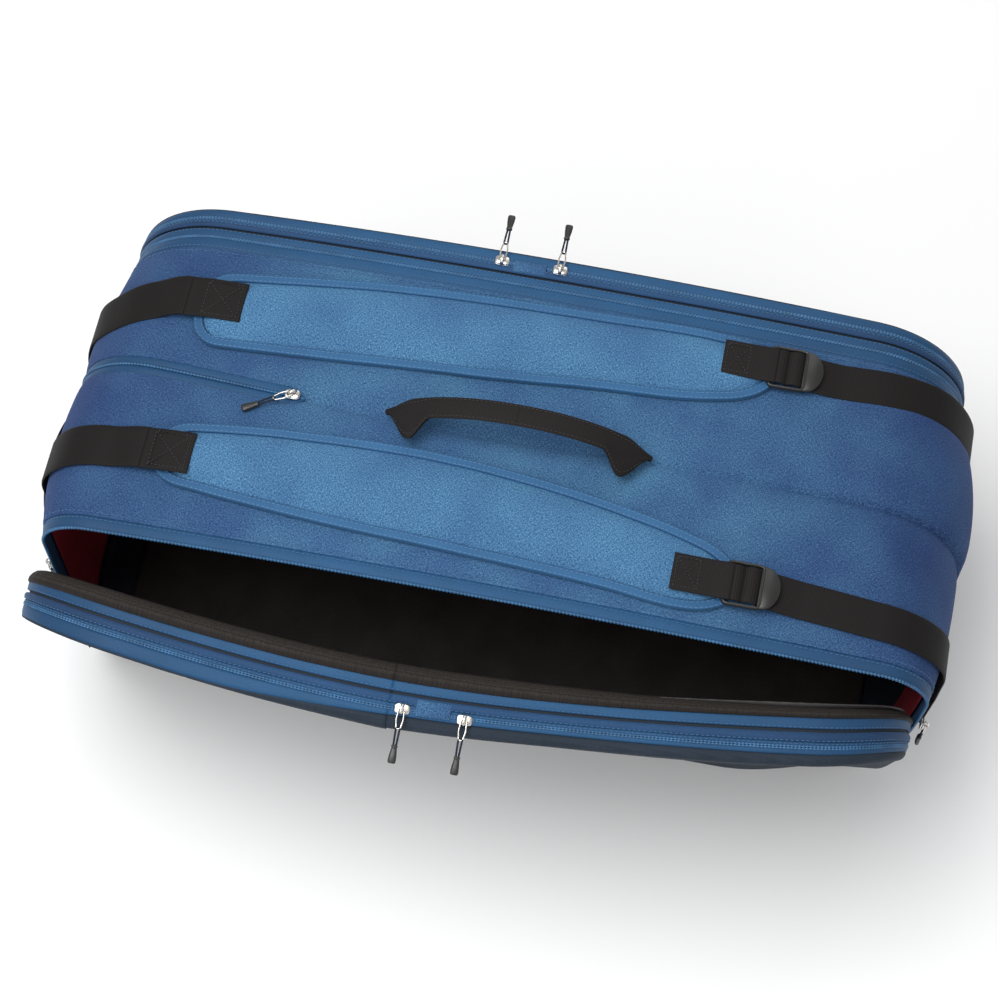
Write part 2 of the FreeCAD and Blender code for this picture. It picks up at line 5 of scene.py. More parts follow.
import bpy
import numpy as np
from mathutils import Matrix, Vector


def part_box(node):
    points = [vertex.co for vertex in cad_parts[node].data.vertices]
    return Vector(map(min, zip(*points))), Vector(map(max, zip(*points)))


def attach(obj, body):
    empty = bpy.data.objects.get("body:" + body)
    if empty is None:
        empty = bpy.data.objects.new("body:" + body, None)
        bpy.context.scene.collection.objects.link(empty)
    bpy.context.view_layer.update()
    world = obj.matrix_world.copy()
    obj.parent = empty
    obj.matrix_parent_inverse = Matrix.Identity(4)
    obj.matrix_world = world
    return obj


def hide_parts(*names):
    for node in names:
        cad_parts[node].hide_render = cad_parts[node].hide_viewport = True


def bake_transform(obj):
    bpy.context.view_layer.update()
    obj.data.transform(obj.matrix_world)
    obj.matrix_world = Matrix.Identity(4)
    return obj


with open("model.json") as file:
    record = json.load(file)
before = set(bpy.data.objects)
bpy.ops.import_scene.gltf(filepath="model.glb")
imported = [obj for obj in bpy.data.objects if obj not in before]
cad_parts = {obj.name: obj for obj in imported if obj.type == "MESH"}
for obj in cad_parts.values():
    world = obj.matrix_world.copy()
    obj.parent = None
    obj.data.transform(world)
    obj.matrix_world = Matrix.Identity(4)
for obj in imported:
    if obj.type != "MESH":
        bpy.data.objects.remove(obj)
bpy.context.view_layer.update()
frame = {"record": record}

JOINTS = {joint["name"]: joint for joint in frame["record"]["behaviour"]["joints"]}
SIDES = {"near": -1, "far": 1}

# ------------------------------------------------------------ sizes, from the frame where it has them

PANEL_LOW, PANEL_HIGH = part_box("near_top_panel")
HALF_LENGTH = PANEL_HIGH[0]
HEIGHT = PANEL_HIGH[2]
BASE_TOP = PANEL_LOW[2]
PANEL_EDGE = -PANEL_LOW[1]
MOUTH = -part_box("near_main_zip_tape")[0][1]
HINGE_Y = -JOINTS["near_flap_hinge"]["pos_m"][1]
HINGE_Z = JOINTS["near_flap_hinge"]["pos_m"][2]
OPENING = math.radians(-JOINTS["near_flap_hinge"]["range_deg"][0])
FLAP_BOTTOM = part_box("far_flap_panel")[0][2]
CROWN_RADIUS = 5.44
END_RADIUS = 0.757
CORNER = 0.095
OPEN_CORNER = 0.050
BASE_FOOT = 0.125
MM = 0.001
STITCH_GAP = 1.2 * MM
COIL_PITCH = 3.0 * MM

# depths outward from the mouth, across the flap's gusset at the crown
FLAP_GAP = 1 * MM
RIM_END = 9.5 * MM
BAND_START = 11.5 * MM
BAND_END = 19.5 * MM
POCKET_COIL = 23.65 * MM
POCKET_START = 29 * MM
POCKET_ROLL = 9 * MM
POCKET_FOOT = 40 * MM
POCKET_TOP = {"near": 38 * MM, "far": 34 * MM}
POCKET_SWELL = 4 * MM
BELLY = 13 * MM
# the gusset is shallower at its foot, and on the far side; the near flap sits inside the mouth
FOOT_SHARE = 0.25
CROWN_SHARE = {"near": 1.0, "far": 0.8}
INSET = {"near": 6.5 * MM, "far": 0.0}

# its head end swells over the filled pocket, and its tail end stands out past the shell
HEAD_SWELL = 0.18
TAIL_REACH = 19 * MM

# the bag's lower near corner at the head end is drawn in
TUCK_START = 0.22
TUCK = (-24 * MM, 22 * MM, 14 * MM)

# the centre seam in plan: (along the arch, y)
SEAM_LINE = (
    (-0.66, 0.014), (-0.37, 0.014), (-0.19, 0.004), (-0.1, -0.002), (0.16, 0.002), (0.66, -0.003)
)

# the near flap's two halves: bent from the shell's body to the flap's between these points
SPLIT = -0.053
SPLIT_FOOT = -0.231
BEND = {
    "tail": ((-0.510, -0.2, 0.036), (-0.199, -0.2, 0.426)),
    "head": ((0.359, -0.2, 0.179), (0.251, -0.2, 0.440)),
}


# ------------------------------------------------------------ shapes of the bag's outline


def smooth(share):
    share = np.clip(share, 0.0, 1.0)
    return share * share * (3 - 2 * share)


def together(*parts):
    """Coordinates that broadcast against each other, as the last axis of one array."""
    return np.stack(np.broadcast_arrays(*parts), -1)


def lengths_along(path):
    """Distance from the start of a path to each of its points."""
    return np.concatenate([[0], np.cumsum(np.linalg.norm(np.diff(path, axis=0), axis=1))])


def rounded(loop, times):
    """A closed loop of points with its corners eased."""
    for _ in range(times):
        loop = (np.roll(loop, 1, 0) + 2 * loop + np.roll(loop, -1, 0)) / 4
    return loop


def end_reach(y):
    """How far out the bulging end wall stands at that y."""
    return HALF_LENGTH - END_RADIUS + np.sqrt(END_RADIUS**2 - np.square(y))


def curve(x, *knots):
    """A smooth line through (x, value) knots."""
    xs, values = (np.array(column, float) for column in zip(*knots))
    slopes = np.gradient(values, xs)
    x = np.clip(x, xs[0], xs[-1])
    index = np.clip(np.searchsorted(xs, x) - 1, 0, len(xs) - 2)
    step = xs[index + 1] - xs[index]
    t = (x - xs[index]) / step
    return (
        (2 * t**3 - 3 * t**2 + 1) * values[index]
        + (t**3 - 2 * t**2 + t) * step * slopes[index]
        + (3 * t**2 - 2 * t**3) * values[index + 1]
        + (t**3 - t**2) * step * slopes[index + 1]
    )


def corner_radius(s, y):
    """The crown turns down gently, but more sharply at the corners of the open mouth."""
    openness = np.where(s < 0, smooth((0.10 - y) / 0.25), smooth((-0.03 - y) / 0.12))
    return CORNER - (CORNER - OPEN_CORNER) * openness


def arch_parts(y, corner=CORNER):
    """Corner centre, crown arc and corner arc of the outline at that y."""
    corner_x = end_reach(y) - corner
    tilt = np.arcsin(corner_x / (CROWN_RADIUS - corner))
    corner_z = HEIGHT - CROWN_RADIUS + (CROWN_RADIUS - corner) * np.cos(tilt)
    return corner_x, corner_z, tilt


def arch_reach(y, bottom=BASE_TOP):
    """Length of the outline from the crown's middle down to the bottom."""
    _, corner_z, tilt = arch_parts(y)
    return tilt * CROWN_RADIUS + (math.pi / 2 - tilt) * CORNER + corner_z - bottom


def arch(s, y, lift=0.0):
    """Points at distance s along the outline, `lift` outside it."""
    s, y, lift = np.broadcast_arrays(*(np.asarray(v, float) for v in (s, y, lift)))
    radius = corner_radius(s, y)
    corner_x, corner_z, tilt = arch_parts(y, radius)
    run = np.abs(s)
    crown = tilt * CROWN_RADIUS
    corner = (math.pi / 2 - tilt) * radius
    on_crown = run < crown
    turn = np.where(on_crown, run / CROWN_RADIUS, tilt + np.clip(run - crown, 0, corner) / radius)
    reach = np.where(on_crown, CROWN_RADIUS, radius) + lift
    x = np.where(on_crown, 0, corner_x) + reach * np.sin(turn)
    z = np.where(on_crown, HEIGHT - CROWN_RADIUS, corner_z) + reach * np.cos(turn)
    straight = arch_reach(y) - crown - corner
    drop = np.maximum(run - crown - corner, 0) * (corner_z - BASE_TOP) / straight
    return tucked(np.stack([x * np.sign(s), y, z - drop], -1))


def tucked(points):
    """Draws in the bag's lower near corner at the head end."""
    x, y, z = points[..., 0], points[..., 1], points[..., 2]
    low = 1 - np.clip((z - FLAP_BOTTOM) / (HEIGHT - FLAP_BOTTOM), 0, 1)
    along = smooth((x - TUCK_START) / (HALF_LENGTH - TUCK_START))
    weight = along * smooth((-0.02 - y) / (MOUTH - 0.02)) * low**2.5
    shift = weight[..., None] * np.array(TUCK)
    shift[..., 2] *= np.clip(z / FLAP_BOTTOM, 0, 1)
    return points + shift


def ripple(a, b, scale, seed):
    """A smooth wrinkled height between about -1 and 1, the same every run."""
    total = np.zeros(np.broadcast(a, b).shape)
    for k in range(1, 6):
        angle = 2.4 * k + seed
        wave = scale * (0.6 + 0.35 * k)
        total = total + np.sin(
            wave * (a * np.cos(angle) + b * np.sin(angle))
            + 1.7 * k * seed
            + 1.3 * np.sin(0.5 * wave * (b * np.cos(angle) - a * np.sin(angle)) + seed)
        ) / k
    return total / 2.3


def gather(s, distance, reach=0.009):
    """Puckers along a line of stitching, fading away from it."""
    pull = np.sin(2 * math.pi * s / 0.0085 + 1.6 * np.sin(2 * math.pi * s / 0.043))
    return pull * np.exp(-np.abs(distance) / reach)


def seam_y(s):
    """The centre seam wanders a little along the bag."""
    return curve(s, *SEAM_LINE)


def puff(s, y):
    """How far the stuffed shell stands out from the CAD outline."""
    y = np.asarray(y, float)
    middle = seam_y(s)
    side = np.where(y > middle, 1.0, -1.0)
    across = np.clip(np.abs(y - middle) / (PANEL_EDGE - side * middle), 0, 1)
    dome = np.sin(math.pi * across) ** 0.8
    valley = np.exp(-np.abs(y - middle) / 0.007)
    head_step = 0.006 * smooth((np.asarray(s) - 0.1) / 0.25) * np.where(side > 0, 1, 0) * (1 - across)
    slack = ripple(s, y, 26.0, 1.0 + 0.7 * (side > 0)) + 0.5 * ripple(s, 0.4 * y, 70.0, 2.2)
    seams = gather(s, y - middle) * 0.7 + gather(s, PANEL_EDGE - np.abs(y), 0.006) * 0.5
    height = 0.0035 * dome - 0.004 * valley + head_step
    ends = smooth((np.abs(s) - 0.26) / 0.1)
    return height + (0.0014 + 0.0018 * ends) * slack * dome + 0.0011 * seams


def skin(s, y, lift=0.0):
    return arch(s, y, puff(s, y) + lift)


def outward(s):
    """The direction away from the outline at s, on the centre line."""
    return arch(s, 0, 1) - arch(s, 0, 0)


# ------------------------------------------------------------ mesh builders


def unit(vectors):
    return vectors / np.maximum(np.linalg.norm(vectors, axis=-1, keepdims=True), 1e-12)


def quads(rows, columns, offset=0, wrap=False):
    """Faces of a grid of rows x columns; wrap joins the last column to the first."""
    i = np.arange(rows - 1)[:, None]
    j = np.arange(columns if wrap else columns - 1)[None, :]
    following = (j + 1) % columns
    low, high = i * columns, (i + 1) * columns
    return together(low + j, high + j, high + following, low + following).reshape(-1, 4) + offset


def piece(name, points, faces, material, uv=None):
    mesh = bpy.data.meshes.new(name)
    mesh.from_pydata(np.asarray(points).reshape(-1, 3).tolist(), [], [list(map(int, f)) for f in faces])
    if uv is not None:
        layer = mesh.uv_layers.new(name="UVMap")
        index = np.empty(len(mesh.loops), int)
        mesh.loops.foreach_get("vertex_index", index)
        layer.data.foreach_set("uv", np.asarray(uv, np.float32).reshape(-1, 2)[index].ravel())
    mesh.materials.append(material)
    mesh.shade_smooth()
    mesh.update()
    shape = bpy.data.objects.new(name, mesh)
    bpy.context.scene.collection.objects.link(shape)
    return shape


def slab(name, top, thickness, material, uv, flip=False, butted=False):
    """A sheet of cloth of even thickness under a grid of points, with eased edges."""
    rows, columns = top.shape[:2]
    normal = unit(np.cross(np.gradient(top, axis=0), np.gradient(top, axis=1)))
    if flip:
        normal = -normal
    rim = np.ones((rows, columns))
    rim[0 if butted else 1 : None if butted else -1, 1:-1] = 0
    rim = rim[..., None]
    outside = top - 0.4 * thickness * rim * normal
    inside = top - thickness * normal * (1 - 0.3 * rim)
    return closed_sheet(name, outside, inside, material, uv, flip)


def closed_sheet(name, outside, inside, material, uv, flip=False):
    """Two grids joined round their border."""
    rows, columns = outside.shape[:2]
    count = rows * columns
    upper = quads(rows, columns)
    lower = quads(rows, columns, count)[:, ::-1]
    border = np.concatenate([
        np.arange(columns),
        np.arange(2, rows) * columns - 1,
        np.arange(count - 1, count - columns - 1, -1),
        np.arange(rows - 2, 0, -1) * columns,
    ])
    after = np.roll(border, -1)
    walls = np.stack([border, after, after + count, border + count], -1)
    faces = np.concatenate([upper, lower, walls])
    if flip:
        faces = faces[:, ::-1]
    points = np.concatenate([outside.reshape(-1, 3), inside.reshape(-1, 3)])
    return piece(name, points, faces, material, np.concatenate([uv.reshape(-1, 2)] * 2))


def frames(path, hint, closed=False):
    """Tangent, side and upward vectors along a path; up stays as near the hint as it can."""
    tangent = np.roll(path, -1, 0) - np.roll(path, 1, 0) if closed else np.gradient(path, axis=0)
    tangent = unit(tangent)
    hint = np.asarray(hint, float)
    if hint.ndim == 2 and len(hint) != len(path):
        spots = np.linspace(0, len(hint) - 1, len(path))
        hint = np.stack([np.interp(spots, np.arange(len(hint)), hint[:, k]) for k in range(3)], -1)
    hint = np.broadcast_to(hint, path.shape)
    side = unit(np.cross(tangent, hint))
    return tangent, side, np.cross(side, tangent)


def sweep(name, path, profile, material, hint=(0, 0, 1), closed=False, scale=1.0):
    """Carries a closed profile of (side, up) points along a path."""
    path = np.asarray(path, float)
    _, side, up = frames(path, hint, closed)
    profile = np.asarray(profile, float)
    scale = np.asarray(scale, float)
    if scale.ndim < 2:
        scale = np.broadcast_to(scale, (len(path),))[:, None]
    ring = side[:, None] * profile[None, :, :1] * scale[:, None, :1]
    ring = ring + up[:, None] * profile[None, :, 1:] * scale[:, None, -1:]
    points = path[:, None] + ring
    rows, columns = points.shape[:2]
    faces = quads(rows, columns, wrap=True).tolist()
    if closed:
        last = (rows - 1) * columns
        for j in range(columns):
            k = (j + 1) % columns
            faces.append([last + j, j, k, last + k])
    else:
        faces.append(list(range(columns)))
        faces.append(list(range(rows * columns - 1, (rows - 1) * columns - 1, -1)))
    length = lengths_along(path)
    around = profile[:, 0] if profile.shape[0] > 8 else np.linspace(0, 0.008, columns)
    uv = together(length[:, None], around[None, :])
    return piece(name, points, faces, material, uv)


def round_profile(radius, sides):
    turn = np.arange(sides) * 2 * math.pi / sides
    return np.stack([radius * np.cos(turn), radius * np.sin(turn)], -1)


def strap_profile(width, thickness):
    """Webbing seen end on: flat, with rounded selvedges."""
    half, bow = width / 2, thickness / 2
    top = [(x * half, thickness) for x in (-0.9, -0.6, -0.3, 0, 0.3, 0.6, 0.9)]
    left = [(-half + 0.3 * bow, 1.6 * bow), (-half, bow), (-half + 0.3 * bow, 0.4 * bow)]
    bottom = [(x * half, 0) for x in (0.9, 0.3, -0.3, -0.9)]
    right = [(half - 0.3 * bow, 1.6 * bow), (half, bow), (half - 0.3 * bow, 0.4 * bow)]
    return (top + right + bottom + left[::-1])[::-1]


def resample(path, step, closed=False):
    path = np.asarray(path, float)
    if closed:
        path = np.concatenate([path, path[:1]])
    length = lengths_along(path)
    count = max(int(round(length[-1] / step)), 2)
    marks = np.linspace(0, length[-1], count + 1)
    if closed:
        marks = marks[:-1]
    return np.stack([np.interp(marks, length, path[:, k]) for k in range(3)], -1)


def stitches(name, path, hint, material, closed=False, pitch=4.2 * MM, radius=0.42 * MM):
    """A row of thread stitches that lie on the path."""
    path = resample(path, pitch, closed)
    tangent, side, up = frames(path, hint, closed)
    half = (pitch - STITCH_GAP) / 2
    stations = np.array([(-1, 0.25), (-0.7, 1), (0.7, 1), (1, 0.25)])
    turn = np.arange(5) * 2 * math.pi / 5
    ring = np.cos(turn)[:, None, None] * side + np.sin(turn)[:, None, None] * up
    points = [
        path + along * half * tangent + spread * radius * ring[k] - 0.5 * radius * (1 - spread) * up
        for along, spread in stations
        for k in range(5)
    ]
    points = np.stack(points, 1)
    count = len(path)
    base = np.arange(count)[:, None, None] * 20
    sides = (quads(4, 5, wrap=True)[None] + base).reshape(-1, 4)
    caps = np.array([[0, 1, 2, 3, 4], [19, 18, 17, 16, 15]])
    caps = (caps[None] + base).reshape(-1, 5)
    uv = np.zeros((count * 20, 2))
    return piece(name, points, sides.tolist() + caps.tolist(), material, uv)


def coil(name, path, hint, material, radius=1.7 * MM):
    """One side of a nylon zip coil: a row of close round teeth."""
    path = resample(path, COIL_PITCH / 4)
    beat = np.tile([1.0, 0.8, 0.35, 0.8], len(path) // 4 + 1)[: len(path)]
    return sweep(name, path, round_profile(radius, 7), material, hint, scale=beat)


def done(shape, body, slot_name, *nodes):
    """Hangs a finished piece on its body, or leaves a near flap half fixed where it is, and hides the CAD
    nodes it stands for; the slot name is not used.
    """
    if body in BEND:
        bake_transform(shape)
    else:
        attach(shape, body)
    if nodes:
        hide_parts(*nodes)
    return shape


# ------------------------------------------------------------ materials


class Shader:
    """A material's node tree, with short calls for the nodes used here."""

    def __init__(self, name, roughness, **sockets):
        self.material = bpy.data.materials.new(name)
        self.material.use_nodes = True
        self.tree = self.material.node_tree
        self.surface = self.tree.nodes["Principled BSDF"]
        self.set(self.surface, Roughness=roughness, **sockets)
        self.uv = self.add("TexCoord").outputs["UV"]
        self.place = self.add("TexCoord").outputs["Object"]

    def fill(self, socket, value):
        if isinstance(value, bpy.types.NodeSocket):
            self.tree.links.new(value, socket)
        else:
            socket.default_value = value

    def set(self, node, **sockets):
        for key, value in sockets.items():
            self.fill(node.inputs[key.replace("_", " ")], value)
        return node

    def add(self, kind, **sockets):
        return self.set(self.tree.nodes.new("ShaderNode" + kind), **sockets)

    def stretch(self, vector, *scale):
        return self.add("Mapping", Vector=vector, Scale=scale).outputs["Vector"]

    def noise(self, vector, scale=1.0, detail=3.0):
        return self.add("TexNoise", Vector=vector, Scale=scale, Detail=detail).outputs["Fac"]

    def wave(self, vector, direction, scale, distortion=0.0):
        node = self.add("TexWave", Vector=vector, Scale=scale, Distortion=distortion)
        node.bands_direction = direction
        return node.outputs["Fac"]

    def math(self, operation, a, b=0.0):
        node = self.tree.nodes.new("ShaderNodeMath")
        node.operation = operation
        for socket, value in zip(node.inputs, (a, b)):
            self.fill(socket, value)
        return node.outputs[0]

    def ramp(self, factor, *stops):
        node = self.add("ValToRGB", Fac=factor)
        ramp = node.color_ramp
        for place, color in stops[2:]:
            ramp.elements.new(place)
        for element, (place, color) in zip(ramp.elements, sorted(stops)):
            element.position = place
            element.color = (*color, 1)
        return node.outputs["Color"]

    def mix(self, factor, a, b, blend="MIX"):
        node = self.tree.nodes.new("ShaderNodeMix")
        node.data_type = "RGBA"
        node.blend_type = blend
        for index, value in zip((0, 6, 7), (factor, a, b)):
            self.fill(node.inputs[index], (*value, 1) if isinstance(value, tuple) else value)
        return node.outputs[2]

    def painted_end_shade(self, color, ends):
        """Painted shade: multiplies the colour by `ends` towards the bag's two ends."""
        along = self.add("SeparateXYZ", Vector=self.place).outputs["X"]
        tone = self.ramp(self.math("ABSOLUTE", along), (0.14, (1, 1, 1)), (0.36, ends))
        return self.mix(1.0, color, tone, "MULTIPLY")

    def finish(self, color, height, bump=0.3, depth=0.0004):
        normal = self.add("Bump", Height=height, Strength=bump, Distance=depth)
        self.set(self.surface, Base_Color=color, Normal=normal.outputs["Normal"])
        return self.material


def heather_cloth(name, dark, middle, light, shade, ends=(1.0, 1.0, 1.0), contrast=0.095):
    """Melange weave: short light and dark yarns both ways, with soft mottling and faded folds, and painted
    shade towards the bag's two ends.
    """
    cloth = Shader(
        name,
        0.86,
        Sheen_Weight=0.08,
        Sheen_Roughness=0.45,
        Sheen_Tint=(0.42, 0.45, 1.0, 1),
        Specular_IOR_Level=0.15,
    )
    warp = cloth.noise(cloth.stretch(cloth.uv, 1900, 560, 1), detail=2.0)
    weft = cloth.noise(cloth.stretch(cloth.uv, 560, 1900, 1), detail=2.0)
    yarns = cloth.math("MULTIPLY", cloth.math("ADD", warp, weft), 0.5)
    color = cloth.ramp(
        yarns, (0.5 - contrast, dark), (0.5 + contrast, light), (0.5, middle)
    )
    cloud = cloth.noise(cloth.stretch(cloth.uv, 14, 14, 1), detail=4.0)
    tone = cloth.ramp(cloud, (0.35, shade), (0.68, (1.08, 1.08, 1.06)))
    color = cloth.mix(1.0, color, tone, "MULTIPLY")
    # painted shade: the cloth is darkened towards the bag's two ends
    color = cloth.painted_end_shade(color, ends)
    across = cloth.wave(cloth.uv, "X", 280, 1.5)
    along = cloth.wave(cloth.uv, "Y", 280, 1.5)
    weave = cloth.math("MULTIPLY", across, along)
    height = cloth.math("ADD", cloth.math("MULTIPLY", weave, 0.5), yarns)
    return cloth.finish(color, height, 0.55, 0.0005)


def plain_cloth(name, dark, light, threads=320, roughness=0.7, sheen=0.15, bump=0.35, fade=0.9, ends=1.0):
    """A close plain weave, such as zip tape, binding or lining, with painted shade towards the bag's two
    ends when `ends` is below 1.
    """
    cloth = Shader(
        name,
        roughness,
        Sheen_Weight=sheen,
        Sheen_Roughness=0.5,
        Sheen_Tint=(*(min(1.0, 3 * value + 0.3) for value in light), 1),
        Specular_IOR_Level=0.3,
    )
    across = cloth.wave(cloth.uv, "X", threads, 0.8)
    along = cloth.wave(cloth.uv, "Y", threads, 0.8)
    weave = cloth.math("MULTIPLY", across, along)
    grain = cloth.noise(cloth.stretch(cloth.uv, 700, 700, 1), detail=2.0)
    mixed = cloth.math("ADD", cloth.math("MULTIPLY", weave, 0.45), cloth.math("MULTIPLY", grain, 0.6))
    color = cloth.ramp(mixed, (0.2, dark), (0.75, light))
    cloud = cloth.noise(cloth.stretch(cloth.uv, 22, 22, 1), detail=3.0)
    tone = cloth.ramp(cloud, (0.3, (fade, fade, fade)), (0.7, (1.06, 1.06, 1.06)))
    # painted shade: the colour is darkened towards the bag's two ends by `ends`
    color = cloth.painted_end_shade(cloth.mix(1.0, color, tone, "MULTIPLY"), (ends, ends, 0.9 * ends + 0.1))
    return cloth.finish(color, mixed, bump, 0.0004)


def webbing_cloth(name, dark, light):
    """Ribbed polypropylene webbing: raised ribs across, fine herringbone along, and painted shade towards
    the bag's two ends.
    """
    cloth = Shader(name, 0.7, Sheen_Weight=0.02, Sheen_Roughness=0.4, Specular_IOR_Level=0.2)
    ribs = cloth.wave(cloth.uv, "X", 170, 0.35)
    cords = cloth.wave(cloth.uv, "Y", 260, 0.5)
    fuzz = cloth.noise(cloth.stretch(cloth.uv, 900, 900, 1), detail=2.0)
    height = cloth.math("ADD", cloth.math("MULTIPLY", ribs, 0.75), cloth.math("MULTIPLY", cords, 0.35))
    mixed = cloth.math("ADD", cloth.math("MULTIPLY", height, 0.6), cloth.math("MULTIPLY", fuzz, 0.5))
    # painted shade: the webbing is darkened towards the bag's two ends
    color = cloth.painted_end_shade(cloth.ramp(mixed, (0.25, dark), (0.95, light)), (0.6, 0.6, 0.6))
    return cloth.finish(color, height, 0.35, 0.0003)


def thread(name, color):
    twist = Shader(name, 0.55, Sheen_Weight=0.1)
    ply = twist.wave(twist.place, "DIAGONAL", 900, 0.4)
    dark = tuple(0.72 * value for value in color)
    return twist.finish(twist.ramp(ply, (0.2, dark), (0.8, color)), ply, 0.3, 0.0001)


def moulded(name, color, roughness=0.42):
    """Moulded nylon: fine spark grain, slightly worn shine in patches."""
    plastic = Shader(name, roughness, Specular_IOR_Level=0.5, Coat_Weight=0.08, Coat_Roughness=0.3)
    pits = plastic.noise(plastic.place, 900, 2.0)
    rub = plastic.noise(plastic.place, 60, 4.0)
    tone = plastic.ramp(rub, (0.35, color), (0.8, tuple(1.7 * value + 0.004 for value in color)))
    rough = plastic.add("MapRange", Value=rub, To_Min=roughness + 0.08, To_Max=roughness - 0.1)
    plastic.set(plastic.surface, Roughness=rough.outputs["Result"])
    return plastic.finish(tone, pits, 0.22, 0.0002)


def plated(name, color):
    """Nickel plate with faint tarnish and handling scratches."""
    metal = Shader(name, 0.22, Metallic=1.0)
    tarnish = metal.noise(metal.place, 140, 4.0)
    scratch = metal.noise(metal.stretch(metal.place, 2500, 300, 300), 1.0, 2.0)
    tone = metal.ramp(tarnish, (0.3, tuple(0.72 * value for value in color)), (0.62, color))
    rough = metal.add("MapRange", Value=scratch, To_Min=0.16, To_Max=0.36)
    metal.set(metal.surface, Roughness=rough.outputs["Result"])
    return metal.finish(tone, scratch, 0.1, 0.0001)


SHELL = heather_cloth(
    "heather_blue",
    (0.020, 0.066, 0.146),
    (0.041, 0.121, 0.235),
    (0.098, 0.220, 0.355),
    (0.70, 0.67, 0.82),
    # painted shade: the shell colour is multiplied by this towards the bag's two ends
    (0.58, 0.52, 0.66),
)
PAD = heather_cloth(
    "heather_pad", (0.024, 0.082, 0.180), (0.053, 0.160, 0.305), (0.124, 0.282, 0.440), (0.78, 0.77, 0.86)
)
# the ends values paint shade on zip tape, gusset band and binding towards the bag's two ends
TAPE = plain_cloth("zip_tape_blue", (0.007, 0.052, 0.135), (0.018, 0.102, 0.232), 420, 0.6, ends=0.62)
BAND = plain_cloth("gusset_blue", (0.008, 0.038, 0.108), (0.020, 0.084, 0.200), 300, 0.7, ends=0.6)
BINDING = plain_cloth("binding_blue", (0.015, 0.076, 0.185), (0.036, 0.148, 0.315), 420, 0.6, ends=0.75)
NAVY = plain_cloth("side_navy", (0.010, 0.018, 0.030), (0.020, 0.032, 0.050), 260, 0.75, 0.0, 0.3)
BASE = plain_cloth("base_navy", (0.008, 0.012, 0.022), (0.018, 0.026, 0.044), 200, 0.6, 0.0, 0.5)
RED_LINING = plain_cloth("lining_red", (0.220, 0.010, 0.020), (0.480, 0.030, 0.052), 500, 0.45, 0.05)
GREY_LINING = plain_cloth(
    "lining_grey", (0.030, 0.027, 0.027), (0.085, 0.078, 0.078), 500, 0.28, 0.0, 0.2, 0.7
)
BROWN_TRIM = plain_cloth("binding_brown", (0.004, 0.003, 0.003), (0.038, 0.030, 0.025), 260, 0.8, 0.0, 0.8)
# webbing and pull cord get painted shade, darker towards the bag's two ends
WEBBING = webbing_cloth("webbing_black", (0.005, 0.0042, 0.0040), (0.016, 0.0135, 0.013))
CORD = webbing_cloth("pull_cord", (0.004, 0.006, 0.012), (0.022, 0.030, 0.055))
COIL = moulded("nylon_coil", (0.016, 0.076, 0.170))
BLACK_PLASTIC = moulded("moulded_black", (0.010, 0.0095, 0.009), 0.4)
NICKEL = plated("nickel_plate", (0.80, 0.77, 0.72))
BLUE_THREAD = thread("thread_blue", (0.030, 0.120, 0.270))
PALE_THREAD = thread("thread_pale", (0.075, 0.195, 0.385))
BLACK_THREAD = thread("thread_black", (0.006, 0.005, 0.0045))


# ------------------------------------------------------------ shell, lining and base


def eased(count, low=0.0, high=1.0):
    """Stations that crowd towards both ends."""
    return low + (high - low) * (0.5 - 0.5 * np.cos(np.linspace(0, math.pi, count)))


SPINE_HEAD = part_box("spine_slider")[1][0] + 0.004
SPINE_TAIL = -float(arch_reach(0, HEIGHT - CORNER - 0.01))
SHELL_ROWS = 460


def spine_gap(s):
    """Half the width of the opening that the spine pocket's zip fills."""
    ends = smooth((SPINE_HEAD - s) / 0.012) * smooth((s - SPINE_TAIL) / 0.016)
    return 0.0088 * ends


def shell_grid(side, y_inner, y_outer, lift, rows=SHELL_ROWS, columns=44):
    """Points over one half of the arch, from the seam side out to the mouth side."""
    sigma = np.linspace(-1, 1, rows)[:, None]
    v = eased(columns)[None, :]
    run = sigma * arch_reach(0.08)
    y = (1 - v) * y_inner(run) + v * side * y_outer
    s = sigma * arch_reach(y)
    return s, y, lift(s, y)


def shell_half(word):
    """The padded cloth over one compartment, and the lining under it."""
    side = SIDES[word]

    def seam_side(run):
        return seam_y(run) + side * (spine_gap(run) - 0.8 * MM)

    s, y, lift = shell_grid(side, seam_side, PANEL_EDGE, puff)
    uv = np.stack([s, y], -1)
    top = slab(word + "_shell", arch(s, y, lift), 3.5 * MM, SHELL, uv, side < 0)
    done(top, "shell", "shell_fabric", word + "_top_panel")

    def crease(s, y):
        return -5.2 * MM - 1.6 * MM * np.abs(ripple(s, y, 34.0, 2.0 + side))

    s, y, lift = shell_grid(side, lambda run: 0 * run + side * 5 * MM, PANEL_EDGE, crease, 200, 24)
    uv = np.stack([s, y], -1)
    lining = slab(word + "_lining_cloth", arch(s, y, lift), 1.2 * MM, RED_LINING, uv, side < 0)
    done(lining, "shell", "lining_fabric", word + "_lining")


